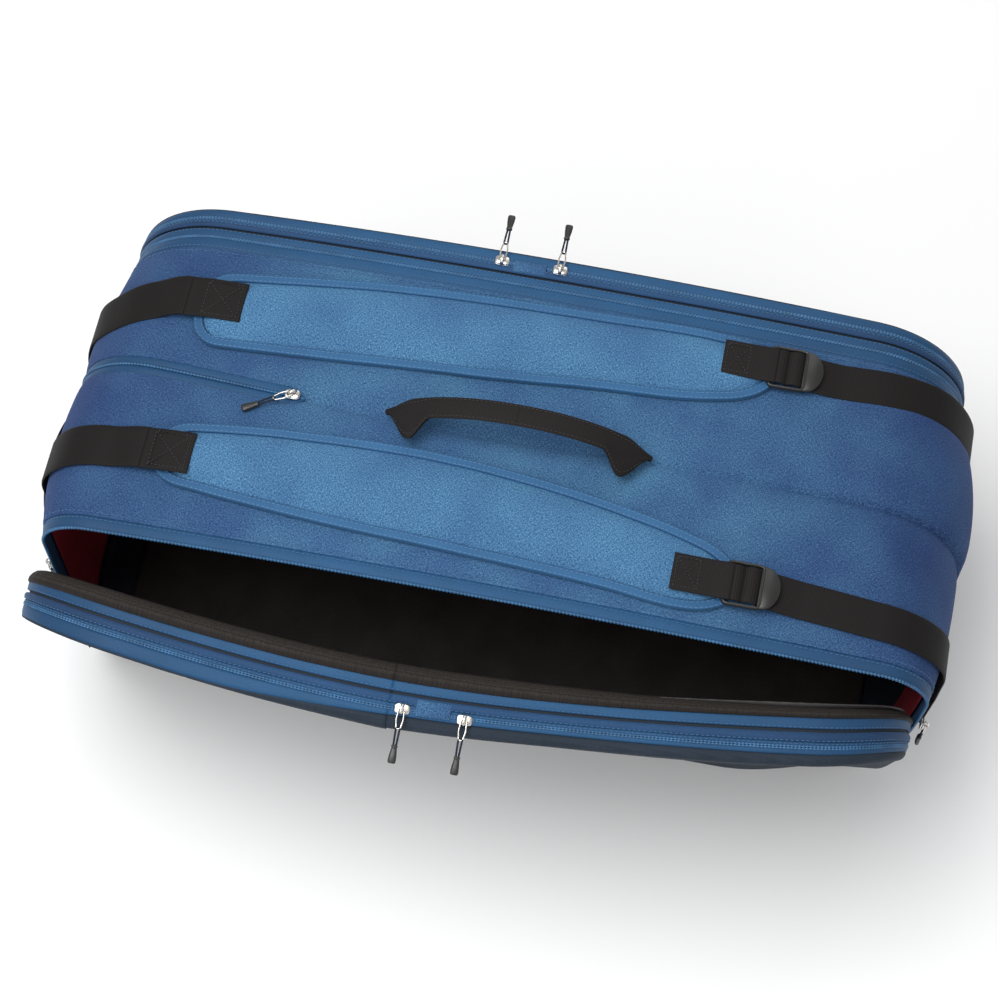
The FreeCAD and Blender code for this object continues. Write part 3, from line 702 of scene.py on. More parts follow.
def ring_tape(word):
    """The compartment zip's tape round the mouth, its coil and its topstitching."""
    side = SIDES[word]

    def lift(s, y):
        across = (np.abs(y) - PANEL_EDGE) / (MOUTH - PANEL_EDGE)
        return -0.9 * MM + 1.1 * MM * np.sin(math.pi * np.clip(across, 0, 1)) ** 0.7

    s, y, height = shell_grid(side, lambda run: 0 * run + side * (PANEL_EDGE - MM), MOUTH, lift, 300, 8)
    tape = slab(word + "_ring_tape", arch(s, y, height), 1.6 * MM, TAPE, np.stack([s, y], -1), side < 0)
    done(tape, "shell", "zip_tape", word + "_main_zip_tape")
    s = np.linspace(-1, 1, 700) * arch_reach(MOUTH)
    teeth = coil(word + "_ring_coil", arch(s, side * MOUTH, -0.9 * MM), outward(s), COIL)
    done(teeth, "shell", "zip_tape")
    for number, y in enumerate((PANEL_EDGE - 3.2 * MM, PANEL_EDGE + 2.4 * MM)):
        height = puff(s, side * y) + 0.2 * MM if y < PANEL_EDGE else lift(s, y) + 0.2 * MM
        line = arch(s, side * y, height)
        row = stitches(f"{word}_ring_stitches_{number}", line, outward(s), BLUE_THREAD)
        done(row, "shell", "shell_fabric")


FAN_END = 0.002


def fan(points, centre, shares):
    """Points on the lines from an outline in to a centre."""
    shares = np.asarray(shares, float)[None, :, None]
    return centre + (points[:, None] - centre) * shares


def divider():
    """The soft wall between the two compartments."""
    s = np.linspace(-1, 1, 260) * arch_reach(0, 6 * MM)
    outline = arch(s, 0, -5 * MM)
    sheet = fan(outline, np.array([0, 0, 6 * MM]), np.linspace(1, FAN_END, 50))
    sheet[..., 1] += 3.2 * MM + 1.2 * MM * ripple(sheet[..., 0], sheet[..., 2], 22.0, 0.4)
    wall = slab("divider_cloth", sheet, 6 * MM, RED_LINING, sheet[..., [0, 2]], False)
    done(wall, "shell", "lining_fabric", "centre_divider")


def base_outline(half, count=560):
    """A closed plan line round the base, `half` wide to each side, with eased corners."""
    y = np.linspace(-half, half, 90)
    reach = end_reach(y)
    x = np.linspace(-reach[0], reach[0], 150)
    head = np.stack([reach, y, 0 * y], -1)
    near = np.stack([x, 0 * x - half, 0 * x], -1)
    line = resample(np.concatenate([near, head[1:], -near[1:], -head[1:-1]]), 2 * MM, closed=True)
    line = rounded(line, 140)
    pick = np.linspace(0, len(line), count, endpoint=False)
    line = np.concatenate([line, line[:1]])
    return np.stack([np.interp(pick, np.arange(len(line)), line[:, k]) for k in range(3)], -1)


def base_tub():
    """The stiffened bottom: a shallow tub whose sides lean in to a narrower foot."""
    rim, foot = base_outline(HINGE_Y - MM), base_outline(BASE_FOOT)
    rim, foot = (np.concatenate([line, line[:1]]) for line in (rim, foot))
    roll = 10 * MM
    levels = [(0.0, BASE_TOP), (0.03, BASE_TOP - 2 * MM), (0.3, 0.034), (0.62, 0.020)]
    wall = [rim + (foot - rim) * share + np.array([0, 0, up]) for share, up in levels]
    for turn in np.linspace(0.15, math.pi / 2, 6):
        inset = unit(foot) * roll * (1 - math.cos(turn) - 0.35)
        wall.append(foot - inset + np.array([0, 0, roll * (1 - math.sin(turn))]))
    floor = [wall[-1] * np.array([share, share, 1]) for share in (0.94, 0.8, 0.6, 0.4, 0.2, 0.05)]
    grid = tucked(np.stack(wall + floor, 1))
    uv = together(lengths_along(rim)[:, None], lengths_along(grid[0])[None, :])
    tub = slab("base_tub", grid, 3.4 * MM, BASE, uv, True)
    done(tub, "shell", "base_fabric", "base_pan")


def floor_lining(word):
    """The lining over the base, inside a compartment."""
    side = SIDES[word]
    x = np.linspace(-0.355, 0.345, 170)[:, None]
    y = side * np.linspace(6 * MM, BASE_FOOT - 12 * MM, 40)[None, :]
    z = 6 * MM + 1.4 * MM * ripple(x, y, 60.0, 1.5 + side)
    grid = together(x, y, z)
    sheet = slab(word + "_floor_lining", grid, 0.8 * MM, GREY_LINING, grid[..., :2], side < 0)
    done(sheet, "shell", "lining_fabric")


# ------------------------------------------------------------ spine pocket


def spine_zip():
    """The zipped pocket opening in the seam, behind the carrying handle."""
    s = np.linspace(SPINE_TAIL, SPINE_HEAD, 190)
    middle = seam_y(s)
    for label, side in SIDES.items():
        v = np.linspace(0, 1, 6)[None, :]
        y = middle[:, None] + side * (0.3 * MM + v * (spine_gap(s)[:, None] + 1.4 * MM))
        lift = -1.1 * MM + 0.7 * MM * np.sin(math.pi * v) ** 0.6 - 0.9 * MM * v**4 + 0 * y
        grid = arch(s[:, None], y, lift)
        uv = np.stack([s[:, None] + 0 * y, y], -1)
        tape = slab(f"spine_tape_{label}", grid, 1.4 * MM, TAPE, uv, side < 0)
        nodes = ["spine_zip_tape"] if side < 0 else []
        done(tape, "shell", "zip_tape", *nodes)
    line = arch(s, middle, -0.6 * MM)
    done(coil("spine_coil", line, (0, 0, 1), COIL, radius=1.5 * MM), "shell", "zip_tape")
    low, high = (np.array(corner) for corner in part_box("spine_pocket_pouch"))
    x = np.linspace(low[0], high[0], 30)[:, None]
    z = np.linspace(low[2], high[2], 26)[None, :]
    bulge = np.sin(math.pi * (x - low[0]) / (high[0] - low[0]))
    bulge = bulge * np.sin(math.pi * (z - low[2]) / (high[2] - low[2]))
    y = high[1] - 4 * MM + 3 * MM * bulge
    grid = together(x, y, z)
    pouch = slab("spine_pouch", grid, 5 * MM, GREY_LINING, grid[..., [0, 2]], True)
    done(pouch, "shell", "lining_fabric", "spine_pocket_pouch")


# ------------------------------------------------------------ shoulder straps

# plan lines of the pads' edges: (x, y) nearest the seam, then nearest the mouth
PAD_EDGES = {
    "far": (
        ((-0.288, 0.035), (-0.105, 0.043), (0.065, 0.055), (0.149, 0.063), (0.205, 0.076)),
        ((-0.288, 0.106), (-0.121, 0.123), (0.054, 0.129), (0.156, 0.131), (0.205, 0.125)),
    ),
    "near": (
        ((-0.288, -0.042), (-0.175, -0.031), (-0.047, -0.029),
         (0.082, -0.044), (0.169, -0.062), (0.205, -0.074)),
        ((-0.288, -0.096), (-0.157, -0.109), (-0.029, -0.115),
         (0.096, -0.121), (0.163, -0.126), (0.205, -0.120)),
    ),
}
PAD_ENDS = (-0.291, 0.207)
STRAP_TAIL = {"near": (-0.257, -0.070), "far": (-0.249, 0.078)}
STRAP_HEAD = {"near": (0.150, -0.097), "far": (0.160, 0.106)}
BUCKLE_START = {"near": 0.1945, "far": 0.201}
PATCH_START = -0.2985
PAD_TOP = 9.2 * MM
STRAP_FOOT = 0.142
BUCKLE_LENGTH = 26 * MM
BINDING_WIDTH = 8.5 * MM
WEBBING_WIDTH = 38 * MM
HEAD_WEBBING_WIDTH = 33 * MM
WEBBING_THICK = 1.9 * MM


def pad_middle_and_half(word, x, inset=0.0):
    """Centre line and half width of a pad, with rounded ends, `inset` inside its edge."""
    inner, outer = (curve(x, *edge) for edge in PAD_EDGES[word])
    middle, half = (inner + outer) / 2, np.abs(outer - inner) / 2 - inset
    for end, radius in zip(PAD_ENDS, (26 * MM, 34 * MM)):
        depth = np.clip(np.abs(x - end) - inset, 0, radius) / radius
        half = half * (1 - (1 - depth) ** 2.4) ** (1 / 2.4)
    return middle, half


def pad_outline(word, inset):
    x = eased(260, PAD_ENDS[0] + inset, PAD_ENDS[1] - inset)
    middle, half = pad_middle_and_half(word, x, inset)
    line = np.stack([x, middle - half, 0 * x], -1)
    back = np.stack([x, middle + half, 0 * x], -1)[::-1]
    return resample(np.concatenate([line, back[1:-1]]), 2.5 * MM, closed=True)


def on_shell(plan, lift):
    return skin(plan[..., 0], plan[..., 1], lift)


def inflate(shape, pinned, cap):
    """Swells a closed cushion with cloth simulation; pinned points stay, none moves past cap."""
    group = shape.vertex_groups.new(name="pinned")
    group.add([int(index) for index in np.flatnonzero(pinned)], 1.0, "REPLACE")
    cloth = shape.modifiers.new("cloth", "CLOTH")
    cloth.settings.vertex_group_mass = "pinned"
    cloth.settings.quality = 6
    cloth.settings.mass = 0.15
    cloth.settings.tension_stiffness = 14
    cloth.settings.compression_stiffness = 14
    cloth.settings.bending_stiffness = 0.4
    cloth.settings.use_pressure = True
    cloth.settings.uniform_pressure_force = 4
    cloth.settings.effector_weights.gravity = 0
    rest = vertices_of(shape.data)
    for number in range(1, 21):
        bpy.context.scene.frame_set(number)
    evaluated = shape.evaluated_get(bpy.context.evaluated_depsgraph_get())
    moved = vertices_of(evaluated.data) - rest
    length = np.linalg.norm(moved, axis=1, keepdims=True)
    moved *= np.minimum(1, cap / np.maximum(length, 1e-9))
    shape.modifiers.remove(cloth)
    shape.data.vertices.foreach_set("co", (rest + moved).astype(np.float32).ravel())
    shape.data.update()
    bpy.context.scene.frame_set(1)


def vertices_of(mesh):
    flat = np.empty(3 * len(mesh.vertices), np.float32)
    mesh.vertices.foreach_get("co", flat)
    return flat.reshape(-1, 3).astype(float)


def strap_pad(word):
    """The padded part of a shoulder strap: its cushion, bound edge and stitching."""
    inset = BINDING_WIDTH - 0.5 * MM
    x = eased(190, PAD_ENDS[0] + inset, PAD_ENDS[1] - inset)[:, None]
    v = eased(36, -1, 1)[None, :]
    middle, half = pad_middle_and_half(word, x, inset)
    y = middle + v * np.maximum(half, 2 * MM)
    edge = np.minimum((1 - np.abs(v)) * half, np.minimum(x - x[0], x[-1] - x)) / (14 * MM)
    crown = smooth(edge) ** 0.6
    lift = 3.2 * MM + 5.6 * MM * crown + 0.5 * MM * ripple(x, y, 40.0, 3.0) * crown
    plan = together(x, y)
    top, bottom = on_shell(plan, lift), on_shell(plan, 0.9 * MM)
    cushion = closed_sheet(word + "_pad_cushion", top, bottom, PAD, plan)
    pinned = np.concatenate([(crown + 0 * y < 0.05).ravel(), np.ones(plan[..., 0].size, bool)])
    inflate(cushion, pinned, 5 * MM)
    done(cushion, word + "_strap", "pad_fabric", word + "_strap_pad")
    line = pad_outline(word, BINDING_WIDTH / 2)
    path = on_shell(line, 1.0 * MM)
    profile = strap_profile(BINDING_WIDTH, 4.2 * MM)
    edge_tape = sweep(word + "_pad_binding", path, profile, BINDING, (0, 0, 1), closed=True)
    done(edge_tape, word + "_strap", "pad_fabric")
    for number, depth in enumerate((1.9 * MM, BINDING_WIDTH - 1.9 * MM)):
        row = on_shell(pad_outline(word, depth), 5.2 * MM)
        threads = stitches(f"{word}_pad_stitches_{number}", row, (0, 0, 1), PALE_THREAD, closed=True)
        done(threads, word + "_strap", "pad_fabric")


def strap_run(name, xs, y, lifts, body, *nodes, width=WEBBING_WIDTH):
    """A run of shoulder strap webbing over the shell."""
    plan = np.stack([xs, y + 0 * xs], -1)
    down = smooth((np.abs(xs) - 0.31) / 0.06)
    stand = puff(xs, plan[:, 1]) * (0.8 + 0.2 * down) + 1.6 * MM * down
    path = arch(xs, plan[:, 1], stand + lifts)
    run = sweep(name, path, strap_profile(width, WEBBING_THICK), WEBBING, outward(xs))
    if body == "slack":
        return run
    return done(run, body, "webbing", *nodes)


def box_stitching(name, x_low, x_high, y, lift, body, width=WEBBING_WIDTH):
    """A stitched box with a cross, as straps are sewn down."""
    half = width / 2 - 3.5 * MM
    hint = outward((x_low + x_high) / 2)
    corners = [(x_low, y - half), (x_high, y - half), (x_high, y + half), (x_low, y + half)]
    plan = corners + [corners[0], corners[2], corners[3], corners[1]]
    points = np.array([(a, b, 0) for a, b in plan])
    line = resample(points, 2 * MM)
    path = arch(line[:, 0], line[:, 1], puff((x_low + x_high) / 2, y) * 0.8 + lift)
    done(stitches(name, path, hint, BLACK_THREAD, pitch=3.4 * MM, radius=0.5 * MM), body, "webbing")


def shoulder_strap(word):
    """One strap from tail to head: pad, sewn patch, tail webbing, tab, buckle and head webbing."""
    side = SIDES[word]
    strap_pad(word)
    patch_end, tail_y = STRAP_TAIL[word]
    xs = np.linspace(PATCH_START, patch_end, 30)
    drop = 1.5 * MM * smooth((PAD_ENDS[0] + 0.012 - xs) / 0.015)
    strap_run(word + "_patch_webbing", xs, tail_y, PAD_TOP - drop, word + "_strap", word + "_strap_patch")
    sewn = PAD_TOP + WEBBING_THICK + 0.2 * MM
    box_stitching(
        word + "_patch_stitches", patch_end - 34 * MM, patch_end - 4 * MM, tail_y, sewn, word + "_strap"
    )
    end = -arch_reach(tail_y, STRAP_FOOT)
    xs = np.linspace(end, PATCH_START, 170)
    lifts = 0.8 * MM + (PAD_TOP - 2.3 * MM) * smooth((xs + 0.330) / 0.031)
    drift = tail_y + side * 0.004 * smooth((-0.30 - xs) / 0.1) * (1 if word == "near" else -3)
    tail = strap_run(word + "_tail_strap", xs, drift, lifts, "slack")
    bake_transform(tail)
    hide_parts(word + "_tail_webbing")

    tab_start, head_y = STRAP_HEAD[word]
    buckle = BUCKLE_START[word]
    xs = np.linspace(tab_start, buckle + 5 * MM, 30)
    lifts = PAD_TOP + 1.2 * MM * smooth((xs - buckle + 0.012) / 0.014)
    narrow = {"width": HEAD_WEBBING_WIDTH}
    strap_run(word + "_tab_webbing", xs, head_y, lifts, word + "_strap", word + "_buckle_tab", **narrow)
    box_stitching(
        word + "_tab_stitches",
        tab_start + 3 * MM,
        tab_start + 22 * MM,
        head_y,
        sewn,
        word + "_strap",
        **narrow,
    )
    ladder_buckle(word, buckle, head_y)
    start = buckle + BUCKLE_LENGTH
    end = arch_reach(head_y, STRAP_FOOT)
    xs = np.linspace(start, end, 190)
    lifts = 0.8 * MM + 4.0 * MM * smooth((buckle + 0.066 - xs) / 0.034)
    drift = head_y + side * 0.006 * smooth((xs - start) / 0.14)
    head = strap_run(word + "_head_strap", xs, drift, lifts, "slack", **narrow)
    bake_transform(head)
    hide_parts(word + "_head_webbing")


def ring_stack(rings):
    """Points and faces of a solid built from rings of equal size, capped at both ends."""
    rings = np.asarray(rings, float)
    rows, columns = rings.shape[:2]
    faces = quads(rows, columns, wrap=True)[:, ::-1].tolist()
    faces.append(list(range(columns))[::-1])
    faces.append(list(range((rows - 1) * columns, rows * columns)))
    return rings.reshape(-1, 3), faces


def bevelled(outline, low, high, bevel):
    """A plate over a plan outline, counterclockwise, with eased edges."""
    outline = np.asarray(outline, float)
    centre = outline.mean(0)
    size = np.abs(outline - centre).max()
    shrink = 1 - bevel / size
    half = 1 - 0.3 * bevel / size
    steps = [(shrink, low), (half, low + 0.3 * bevel), (1, low + bevel)]
    steps += [(1, high - bevel), (half, high - 0.3 * bevel), (shrink, high)]
    return [
        np.column_stack([centre + (outline - centre) * share, np.full(len(outline), up)])
        for share, up in steps
    ]


def joined(parts):
    """Several (points, faces) as one."""
    points, faces, count = [], [], 0
    for part_points, part_faces in parts:
        points.append(part_points)
        faces += [[index + count for index in face] for face in part_faces]
        count += len(part_points)
    return np.concatenate(points), faces


def ladder_buckle(word, start, y):
    """A ladder-lock: an oval-section frame, two bars wound with webbing and a thumb tongue."""
    z = float(skin(start + 0.015, y, 0)[2]) + 7.8 * MM
    corners = [(0, -18.5), (0, 18.5), (30, 18.5), (30, -18.5)]
    loop = resample([(start + a * MM, y + b * MM, z) for a, b in corners], 1.2 * MM, closed=True)
    loop = rounded(loop, 8)
    oval = round_profile(1.0, 12) * np.array([1.5 * MM, 2.7 * MM])
    frame_bar = sweep(word + "_buckle_frame", loop, oval, BLACK_PLASTIC, (0, 0, 1), closed=True)
    turn = np.linspace(-math.pi / 2, math.pi / 2, 18)
    arc = [(start + (31 + 14 * math.cos(a)) * MM, y + 19 * MM * math.sin(a)) for a in turn]
    outline = arc + [(start + 28 * MM, y + 18.5 * MM), (start + 28 * MM, y - 18.5 * MM)]
    plate = bevelled(outline, z - 1.6 * MM, z + 2.0 * MM, 1.3 * MM)
    tongue = piece(word + "_buckle_tongue", *ring_stack(plate), BLACK_PLASTIC)
    xs = np.linspace(start + 1.5 * MM, start + 27 * MM, 60)
    roll = np.abs(np.sin((xs - xs[0]) / (xs[-1] - xs[0]) * 2 * math.pi)) ** 0.5
    path = np.stack([xs, 0 * xs + y, z - 2.4 * MM + 4.6 * MM * roll], -1)
    profile = strap_profile(HEAD_WEBBING_WIDTH - MM, 1.8 * MM)
    wound = sweep(word + "_buckle_winding", path, profile, WEBBING, (0, 0, 1))
    done(frame_bar, word + "_buckle", "buckle_plastic", word + "_strap_buckle")
    done(tongue, word + "_buckle", "buckle_plastic")
    done(wound, word + "_buckle", "webbing")


# ------------------------------------------------------------ handles


def carry_handle():
    """Webbing folded in half over its middle, opening out to a three-cornered foot at each end."""
    low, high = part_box("carry_handle_band")
    middle = (low[0] + high[0]) / 2
    ends = {"tail": low[0] + 5 * MM, "head": high[0] - 5 * MM}
    for half, foot in ends.items():
        handle_half(half, min(middle, foot), max(middle, foot), middle, foot, high[2])
    for number, foot in enumerate(ends.values()):
        ys = np.linspace(-8 * MM, 8 * MM, 14)
        path = skin(foot + math.copysign(20 * MM, middle - foot) + 0 * ys, ys, 0.9 * MM)
        patch = sweep(f"handle_foot_{number}", path, strap_profile(14 * MM, 1.6 * MM), WEBBING, (0, 0, 1))
        done(patch, "shell", "webbing", *["carry_handle_feet"][number:])


def handle_half(half, start, stop, middle, foot, crest):
    """One half of the carrying handle, from its middle out to its sewn foot."""
    x = np.linspace(start, stop, 110)[:, None]
    end = np.abs((x - middle) / (foot - middle))
    flare = smooth((end - 0.64) / 0.14)
    point = smooth((end - 0.78) / 0.22)
    far_edge = 10 * MM - 7 * MM * point
    near_edge = -10 * MM - 16 * MM * flare + 25 * MM * point

    def height(v):
        arc = (crest - HEIGHT - 8 * MM) * (1 - end**2.3)
        fold = np.exp(-(((v - 0.5) / 0.12) ** 2))
        crease = 1.2 * MM * np.sin(math.pi * v) ** 0.5 - 0.8 * MM * flare * fold
        return HEIGHT + 4.8 * MM + arc + crease - 5.5 * MM * v**2 * flare * (1 - point)

    def across(v):
        return far_edge + (near_edge - far_edge) * v

    v = eased(20)[None, :]
    top = together(x, across(v), height(v))
    uv = together(x, 20 * MM * v)
    node = ["carry_handle_band"] if half == "tail" else []
    band = slab("handle_webbing_" + half, top, 3.6 * MM, WEBBING, uv, True, True)
    hold_handle(band, middle, foot, *node)
    for number, v in enumerate((0.11, 0.89)):
        line = together(x, across(v), height(v) + 0.1 * MM)[:, 0]
        line = line[end[:, 0] < 0.92]
        row = stitches(f"handle_stitches_{half}_{number}", line, (0, 0, 1), BLACK_THREAD, pitch=3.6 * MM)
        hold_handle(row, middle, foot)


def hold_handle(shape, middle, foot, *nodes):
    """Fixes a piece of the handle where it is and hides the CAD nodes it stands for; middle and foot are
    not used.
    """
    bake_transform(shape)
    if nodes:
        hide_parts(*nodes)


def haul_loop():
    """The webbing loop on the tail end wall, bowed out between its two sewn ends."""
    low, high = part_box("end_haul_loop")
    y = np.linspace(low[1], high[1], 90)
    t = np.linspace(-1, 1, 90)
    bow = 10 * MM * (1 - t**2) ** 0.8
    height = (low[2] + high[2]) / 2
    path = np.stack([-end_reach(y) - 2.5 * MM - bow, y, height + 0 * y], -1)
    narrowing = np.stack([1 - 0.25 * np.abs(t) ** 6, 1 + 0 * t], -1)
    profile = strap_profile(36 * MM, 2.6 * MM)
    band = sweep("haul_loop_webbing", path, profile, WEBBING, (-1, -0.1, 0), scale=narrowing)
    done(band, "end_loop", "webbing", "end_haul_loop")


# ------------------------------------------------------------ flaps and outer pockets


def settle(points, half):
    """Where points of the shut near flap rest, now that the flap stands open."""
    start, end = (np.array(point) for point in BEND[half])
    line = end - start
    hinge = np.array([0, -HINGE_Y, HINGE_Z])
    rest = points.copy()
    for _ in range(14):
        share = smooth(((rest - start) @ line) / (line @ line))
        angle = OPENING * share
        reach = points - hinge
        rest = np.stack([
            points[..., 0],
            hinge[1] + reach[..., 1] * np.cos(angle) - reach[..., 2] * np.sin(angle),
            hinge[2] + reach[..., 1] * np.sin(angle) + reach[..., 2] * np.cos(angle),
        ], -1)
    return rest


def flap_points(word, half, s, out, lift=0.0):
    """Points on the flap's gusset: along the arch, outward from the mouth, outside the skin."""
    points = arch(s, MOUTH, lift - INSET[word])
    return flap_place(word, half, points[..., 0], out, points[..., 2])


def flap_place(word, half, x, out, z):
    """Where a point of the shut flap, `out` from the mouth, lies in the pose of the frame."""
    x, out, z = np.broadcast_arrays(x, out, z)
    rise = np.clip((z - FLAP_BOTTOM) / (HEIGHT - FLAP_BOTTOM), 0, 1)
    share = FOOT_SHARE + (CROWN_SHARE[word] - FOOT_SHARE) * rise
    share = share * (0.45 + 0.55 * smooth(rise / 0.35))
    if word == "far":
        return np.stack([x, MOUTH + FLAP_GAP + out * share, z], -1)
    share = share * (1 + HEAD_SWELL * smooth((x - 0.05) / 0.25))
    reach = TAIL_REACH * smooth((-x - 0.25) / 0.12) * smooth(rise / 0.9)
    points = np.stack([x - reach, -(MOUTH + FLAP_GAP + out * share), z], -1)
    return settle(tucked(points), half)


def pocket_depth(word, x, z):
    """How far the outer pocket's front stands out from the mouth."""
    slope = (z - FLAP_BOTTOM) / (HEIGHT - FLAP_BOTTOM)
    swell = POCKET_SWELL * (1 - (x / HALF_LENGTH) ** 2)
    return POCKET_FOOT + (POCKET_TOP[word] - POCKET_FOOT) * slope + swell


def pocket_start(word, x, z):
    """Where the pocket's blue edge gives way to its navy front, hidden at the tail and behind."""
    hidden = smooth((-x - 0.02) / 0.22) if word == "near" else 1.0
    edge = pocket_depth(word, x, z) - 1.2 * MM
    return POCKET_START + (edge - POCKET_START) * hidden


def flap_run(half, count):
    """Stations along the arch for one half of the flap, or for all of it."""
    reach = float(arch_reach(MOUTH, FLAP_BOTTOM))
    ends = {"tail": (-reach, SPLIT), "head": (SPLIT, reach), "whole": (-reach, reach)}[half]
    share = (ends[1] - ends[0]) / (2 * reach)
    return np.linspace(*ends, max(int(count * share), 2))


def flap_body(word, half, part="flap"):
    """The body of a flap piece; for the near flap it is the half's name, and the piece stays fixed in its
    bent shape.
    """
    return half if word == "near" else "far_" + part


GUSSET_ROWS = 420


def gusset(word, half, label, outs, lifts, thick, material, slot_name, nodes=(), part="flap"):
    """A strip of the gusset between two depths; lifts is its height across."""
    s = flap_run(half, GUSSET_ROWS)[:, None]
    outs, lifts = (np.atleast_2d(np.asarray(values, float)) for values in (outs, lifts))
    slack = 0.35 * MM * ripple(s, outs * 6, 40.0, 5.0)
    grid = flap_points(word, half, s, outs, lifts + slack)
    uv = together(s, outs)
    strip = slab(f"{word}_{label}_{half}", grid, thick, material, uv, SIDES[word] < 0, True)
    return done(strip, flap_body(word, half, part), slot_name, *nodes)


def arched(low, high, rise, base=0.0, count=9):
    """Depths from low to high, with heights that bow up between them."""
    v = eased(count)
    return low + v * (high - low), base + rise * np.sin(math.pi * v) ** 0.6


def gusset_line(word, half, out, lift, maker, label, material, slot_name, part="flap", **options):
    """A coil or a row of stitches along the gusset, made by `maker`."""
    s = flap_run(half, 900)
    path = flap_points(word, half, s, out, lift)
    hint = flap_points(word, half, s, out, lift + MM) - path
    shape = maker(f"{word}_{label}_{half}", path, hint, material, **options)
    return done(shape, flap_body(word, half, part), slot_name)


def flap_edge(word, half):
    """Rim tape, coil, groove, band and pocket zip, from the mouth outwards."""
    rim = arch(flap_run(half, GUSSET_ROWS), MOUTH)
    coil_side = POCKET_COIL + 0.5 * MM
    edge_width = pocket_start(word, rim[:, :1], rim[:, 2:]) - coil_side
    edge_outs = coil_side + np.linspace(0, 1, 5) * edge_width
    gusset(word, half, "rim_tape", *arched(0.2 * MM, RIM_END, 0.8 * MM, -0.4 * MM), 1.8 * MM, TAPE,
           "zip_tape", [word + "_flap_rim"])
    sunken = arched(RIM_END - 1.5 * MM, BAND_START + 2 * MM, -0.3 * MM, -1.6 * MM, 5)
    gusset(word, half, "groove", *sunken, 1.2 * MM, NAVY, "binding_fabric")
    gusset(word, half, "band", *arched(BAND_START, BAND_END, 2.2 * MM, -0.6 * MM), 2.2 * MM, BAND,
           "shell_fabric", [word + "_flap_band"])
    inner_tape = arched(BAND_END - MM, POCKET_COIL - 0.5 * MM, 0.3 * MM, -0.4 * MM, 5)
    gusset(word, half, "pocket_tape_in", *inner_tape, 1.2 * MM, TAPE, "zip_tape", [word + "_pocket_zip"])
    gusset(word, half, "pocket_tape_out", edge_outs, [-0.4 * MM, -0.1 * MM, 0.0, -0.1 * MM, -0.4 * MM],
           1.2 * MM, TAPE, "zip_tape", part="pocket")
    for label, out, part in (
        ("rim_coil", -0.2 * MM, "flap"),
        ("pocket_coil_in", POCKET_COIL - 0.8 * MM, "flap"),
        ("pocket_coil_out", POCKET_COIL + 0.8 * MM, "pocket"),
    ):
        gusset_line(word, half, out, -0.4 * MM, coil, label, COIL, "zip_tape", part, radius=1.2 * MM)
    for label, out, lift in (
        ("rim_stitches", RIM_END - 1.6 * MM, 0.2 * MM),
        ("band_stitches", BAND_END - 1.4 * MM, 1.0 * MM),
        ("pocket_stitches", BAND_END + 1.2 * MM, 0.1 * MM),
    ):
        gusset_line(word, half, out, lift, stitches, label, BLUE_THREAD, "shell_fabric")


def flap_inside(word, half):
    """The dark binding inside the rim and the padded inner panel."""
    s = flap_run(half, 300)
    centre = np.array([SPLIT_FOOT if word == "near" else 0.0, 0, FLAP_BOTTOM])
    levels = np.array([-0.6, 0.1, -0.6, -2.2, -4.6, -7.5]) * MM
    depth = np.array([0.6, -1.6, -5.0, -8.5, -11.5, -13.5]) * MM
    depth = depth * (1 - 0.6 * smooth(arch(s, MOUTH)[:, :1] / 0.3))
    levels = levels - (4 * MM if word == "far" else 0.0)
    folds = 0.6 * gather(s, 0 * s) + ripple(s, 0 * s, 55.0, 1.3)
    pucker = 0.8 * MM * folds[:, None] * np.array([0, 0.3, 0.8, 1, 1, 1])
    grid = flap_points(word, half, s[:, None], depth, levels[None, :] + pucker)
    uv = together(s[:, None], levels[None, :])
    binding = slab(f"{word}_rim_binding_{half}", grid, 1.6 * MM, BROWN_TRIM, uv, SIDES[word] < 0, True)
    done(binding, flap_body(word, half), "binding_fabric")
    outline = arch(s, MOUTH, -6 * MM - INSET[word])
    shares = np.concatenate([[1.0, 0.985, 0.965], np.linspace(0.94, FAN_END, 44)])
    flat = fan(outline * np.array([1, 0, 1]), centre, shares)
    x, z = flat[..., 0], flat[..., 2]
    sag = ripple(x * 0.7, z * 1.6, 30.0, 2.2)
    edge = smooth((1 - shares) / 0.06)[None, :]
    out = -11.0 * MM + edge * (17.0 * MM + 4.0 * MM * sag)
    grid = flap_place(word, half, x, out, z)
    uv = np.stack([x, z], -1)
    panel = slab(f"{word}_inner_panel_{half}", grid, 2.6 * MM, GREY_LINING, uv, SIDES[word] > 0, True)
    done(panel, flap_body(word, half), "side_fabric", word + "_flap_panel")


